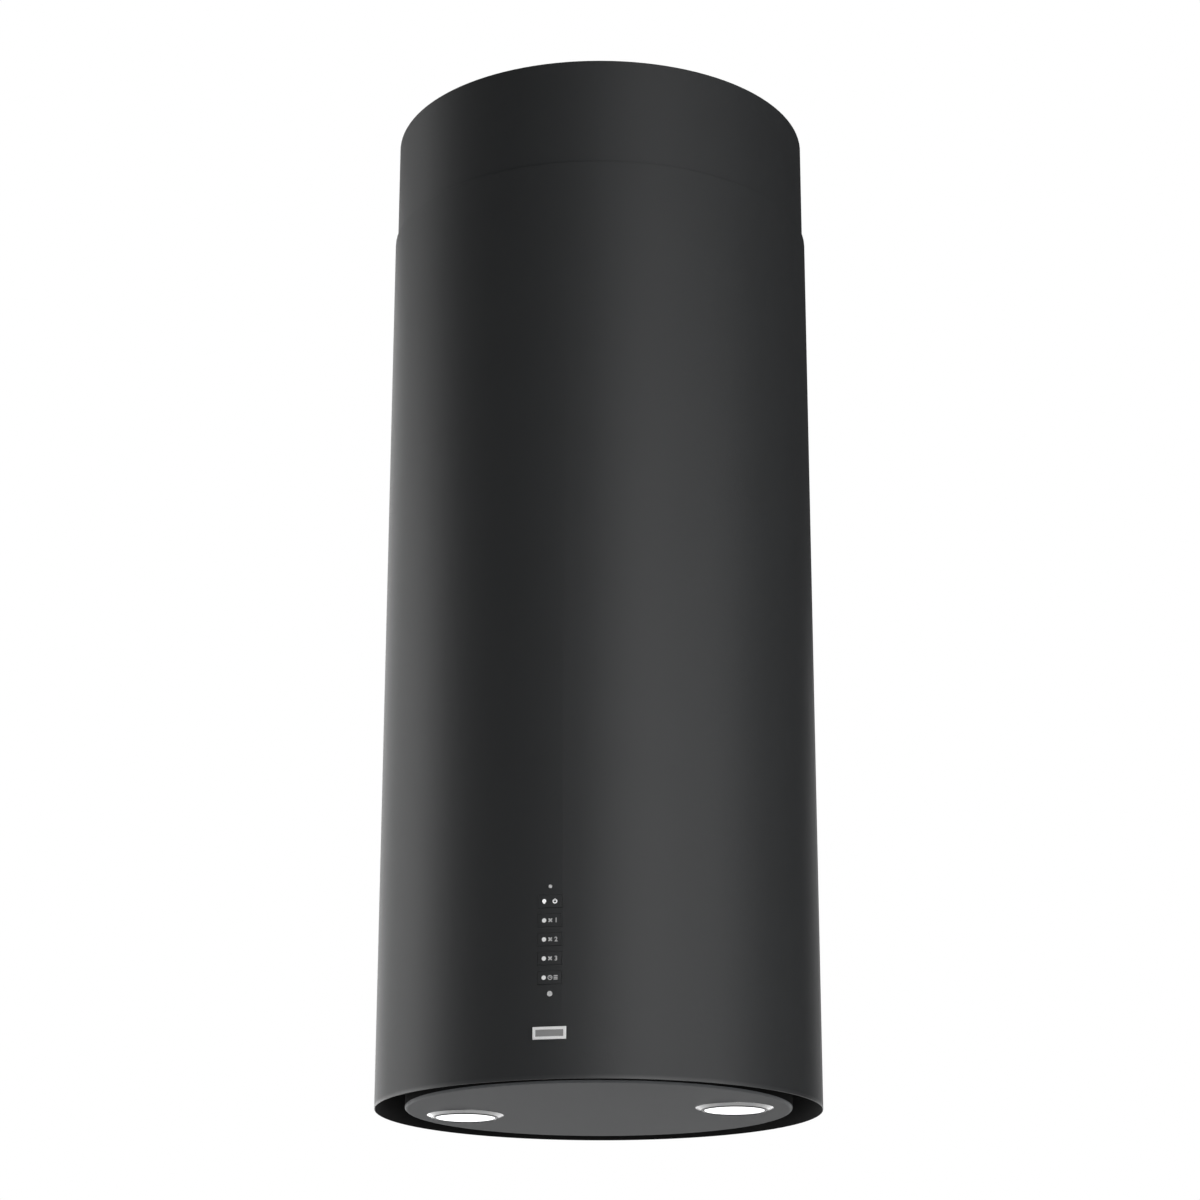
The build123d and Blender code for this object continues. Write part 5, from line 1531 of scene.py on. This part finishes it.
@dataclass
class Softbox:
    """A square lamp that faces the hood."""

    name: str
    azimuth: float
    elevation: float
    wide: float
    watts: float
    tall: float = 2.0
    distance: float = 2.6
    aim: Tuple[float, float, float] = (0.0, 0.0, -0.45)

    def build(self) -> None:
        """Builds the lamp at its place, turned to the hood."""
        turn = math.radians(self.azimuth)
        lift = math.radians(self.elevation)
        back = Vector((math.sin(turn) * math.cos(lift), -math.cos(turn) * math.cos(lift), math.sin(lift)))
        data = bpy.data.lights.new(self.name, "AREA")
        data.shape = "RECTANGLE"
        data.size = self.wide
        data.size_y = self.tall
        data.energy = self.watts
        lamp = bpy.data.objects.new(self.name, data)
        lamp.location = Vector(self.aim) + back * self.distance
        lamp.rotation_mode = "QUATERNION"
        lamp.rotation_quaternion = (-back).to_track_quat("-Z", "Y")
        bpy.context.scene.collection.objects.link(lamp)


@dataclass
class Studio:
    """White room, pale floor and soft lamps."""

    floor_z: float = -1.62
    floor_half: float = 6.0
    floor_colour: Colour = grey(226)
    floor_veil: float = 0.5
    shadow_r: float = 0.6
    fade: float = 1.9
    ambient: float = 0.02
    horizon: float = -0.1
    lamps: List[Softbox] = field(default_factory=lambda: [
        Softbox("front_wide", azimuth=32.0, elevation=0.0, wide=1.5, watts=34.0),
        Softbox("front_high", azimuth=42.0, elevation=40.0, wide=0.9, watts=4.0),
        Softbox("front_right", azimuth=70.0, elevation=0.0, wide=0.9, watts=18.5),
        Softbox(
            "back_right", azimuth=167.0, elevation=0.0, wide=0.9, watts=6.2, tall=1.75,
            aim=(0.0, 0.0, -0.62),
        ),
        Softbox("left_wall", azimuth=-96.0, elevation=0.0, wide=1.6, watts=28.0),
        Softbox("left_high", azimuth=-106.0, elevation=40.0, wide=0.9, watts=6.5),
        Softbox("back_left", azimuth=-141.0, elevation=0.0, wide=1.4, watts=29.0, tall=3.0),
    ])

    def build(self) -> None:
        """Builds the room."""
        self._world()
        self._floor()
        for lamp in self.lamps:
            lamp.build()
        bpy.context.scene.view_settings.view_transform = "Standard"

    def _world(self) -> None:
        """Makes a world that is white to look at and dimmer as a light."""
        world = bpy.data.worlds.new("white_room")
        room = Shader("white_room", world)
        aim = room.add("ShaderNodeTexCoord", output="Generated")
        low = room.add("ShaderNodeSeparateXYZ", sockets={0: aim}, output=2) < self.horizon
        camera = room.add("ShaderNodeLightPath", output="Is Camera Ray")
        seen = camera.either(low * self._seen(room))
        light = room.add("ShaderNodeBackground", sockets={"Strength": self.ambient})
        white = room.add("ShaderNodeBackground", sockets={"Color": (*WHITE, 1.0)})
        mixed = room.add("ShaderNodeMixShader", sockets={0: seen, 1: light, 2: white})
        room.add("ShaderNodeOutputWorld", sockets={"Surface": mixed})
        bpy.context.scene.world = world

    @staticmethod
    def _seen(shader: Shader) -> Wire:
        """Tells the rays that show the background from those that only light the hood.

        Args:
            shader: the material or world that asks.

        Returns:
            1 for the camera, and for what metal and glass show.
        """
        rays = ["Is Camera Ray", "Is Glossy Ray", "Is Transmission Ray"]
        camera, glossy, passing = [shader.add("ShaderNodeLightPath", output=ray) for ray in rays]
        return camera.either(glossy).either(passing)

    def _floor(self) -> None:
        """Lays the floor below the hood."""
        mesh = bmesh.new()
        place = Matrix.Translation((0.0, 0.0, self.floor_z))
        bmesh.ops.create_grid(mesh, x_segments=1, y_segments=1, size=self.floor_half, matrix=place)
        data = bpy.data.meshes.new("floor")
        mesh.to_mesh(data)
        mesh.free()
        data.materials.append(self._floor_paint())
        floor = bpy.data.objects.new("floor", data)
        bpy.context.scene.collection.objects.link(floor)

    def _floor_paint(self) -> bpy.types.Material:
        """Makes a pale paint that fades to white far away and is clear from below.

        Returns:
            The finished material.
        """
        shader = Shader("pale_floor")
        far = ((shader.from_axis(MIDDLE) - self.shadow_r) / self.fade).clipped()
        camera = shader.add("ShaderNodeLightPath", output="Is Camera Ray")
        pale = (far * self._seen(shader)).either(camera * self.floor_veil)
        paint = shader.add("ShaderNodeBsdfDiffuse", sockets={"Color": (*self.floor_colour, 1.0)})
        white = shader.add("ShaderNodeEmission", sockets={"Color": (*WHITE, 1.0)})
        above = shader.add("ShaderNodeMixShader", sockets={0: pale, 1: paint, 2: white})
        under = shader.add("ShaderNodeNewGeometry", output="Backfacing")
        clear = shader.add("ShaderNodeBsdfTransparent")
        mixed = shader.add("ShaderNodeMixShader", sockets={0: under, 1: above, 2: clear})
        return shader.close(mixed)


@dataclass
class PhotoCamera:
    """The camera that took the photograph."""

    azimuth: float = 11.9
    swing: float = -0.01
    distance: float = 2.4052
    height: float = -1.2015
    pitch: float = 17.824
    roll: float = 0.088
    lens: float = 86.85
    sensor: float = 36.0
    nearest: float = 0.05

    def build(self) -> None:
        """Builds the camera and makes it the scene's own."""
        turn = math.radians(self.azimuth)
        tilt = math.radians(self.pitch)
        data = bpy.data.cameras.new("photo_camera")
        data.sensor_width = self.sensor
        data.lens = self.lens
        data.clip_start = self.nearest
        camera = bpy.data.objects.new("photo_camera", data)
        camera.location = (self.distance * math.sin(turn), -self.distance * math.cos(turn), self.height)
        turn += math.radians(self.swing)
        aim = Vector((-math.sin(turn) * math.cos(tilt), math.cos(turn) * math.cos(tilt), math.sin(tilt)))
        camera.rotation_mode = "QUATERNION"
        lean = Quaternion((0.0, 0.0, 1.0), math.radians(self.roll))
        camera.rotation_quaternion = aim.to_track_quat("-Z", "Y") @ lean
        bpy.context.scene.collection.objects.link(camera)
        bpy.context.scene.camera = camera


def main() -> None:
    """Builds every class in order."""
    logging.basicConfig(level=logging.INFO, format="%(name)s %(message)s")
    Finishes().dress()
    Spots().dress()
    FilterMesh().build()
    SocketScrews().build()
    BadgePlate().build()
    KeyPrints().build()
    Studio().build()
    PhotoCamera().build()


if __name__ == "__main__":
    main()
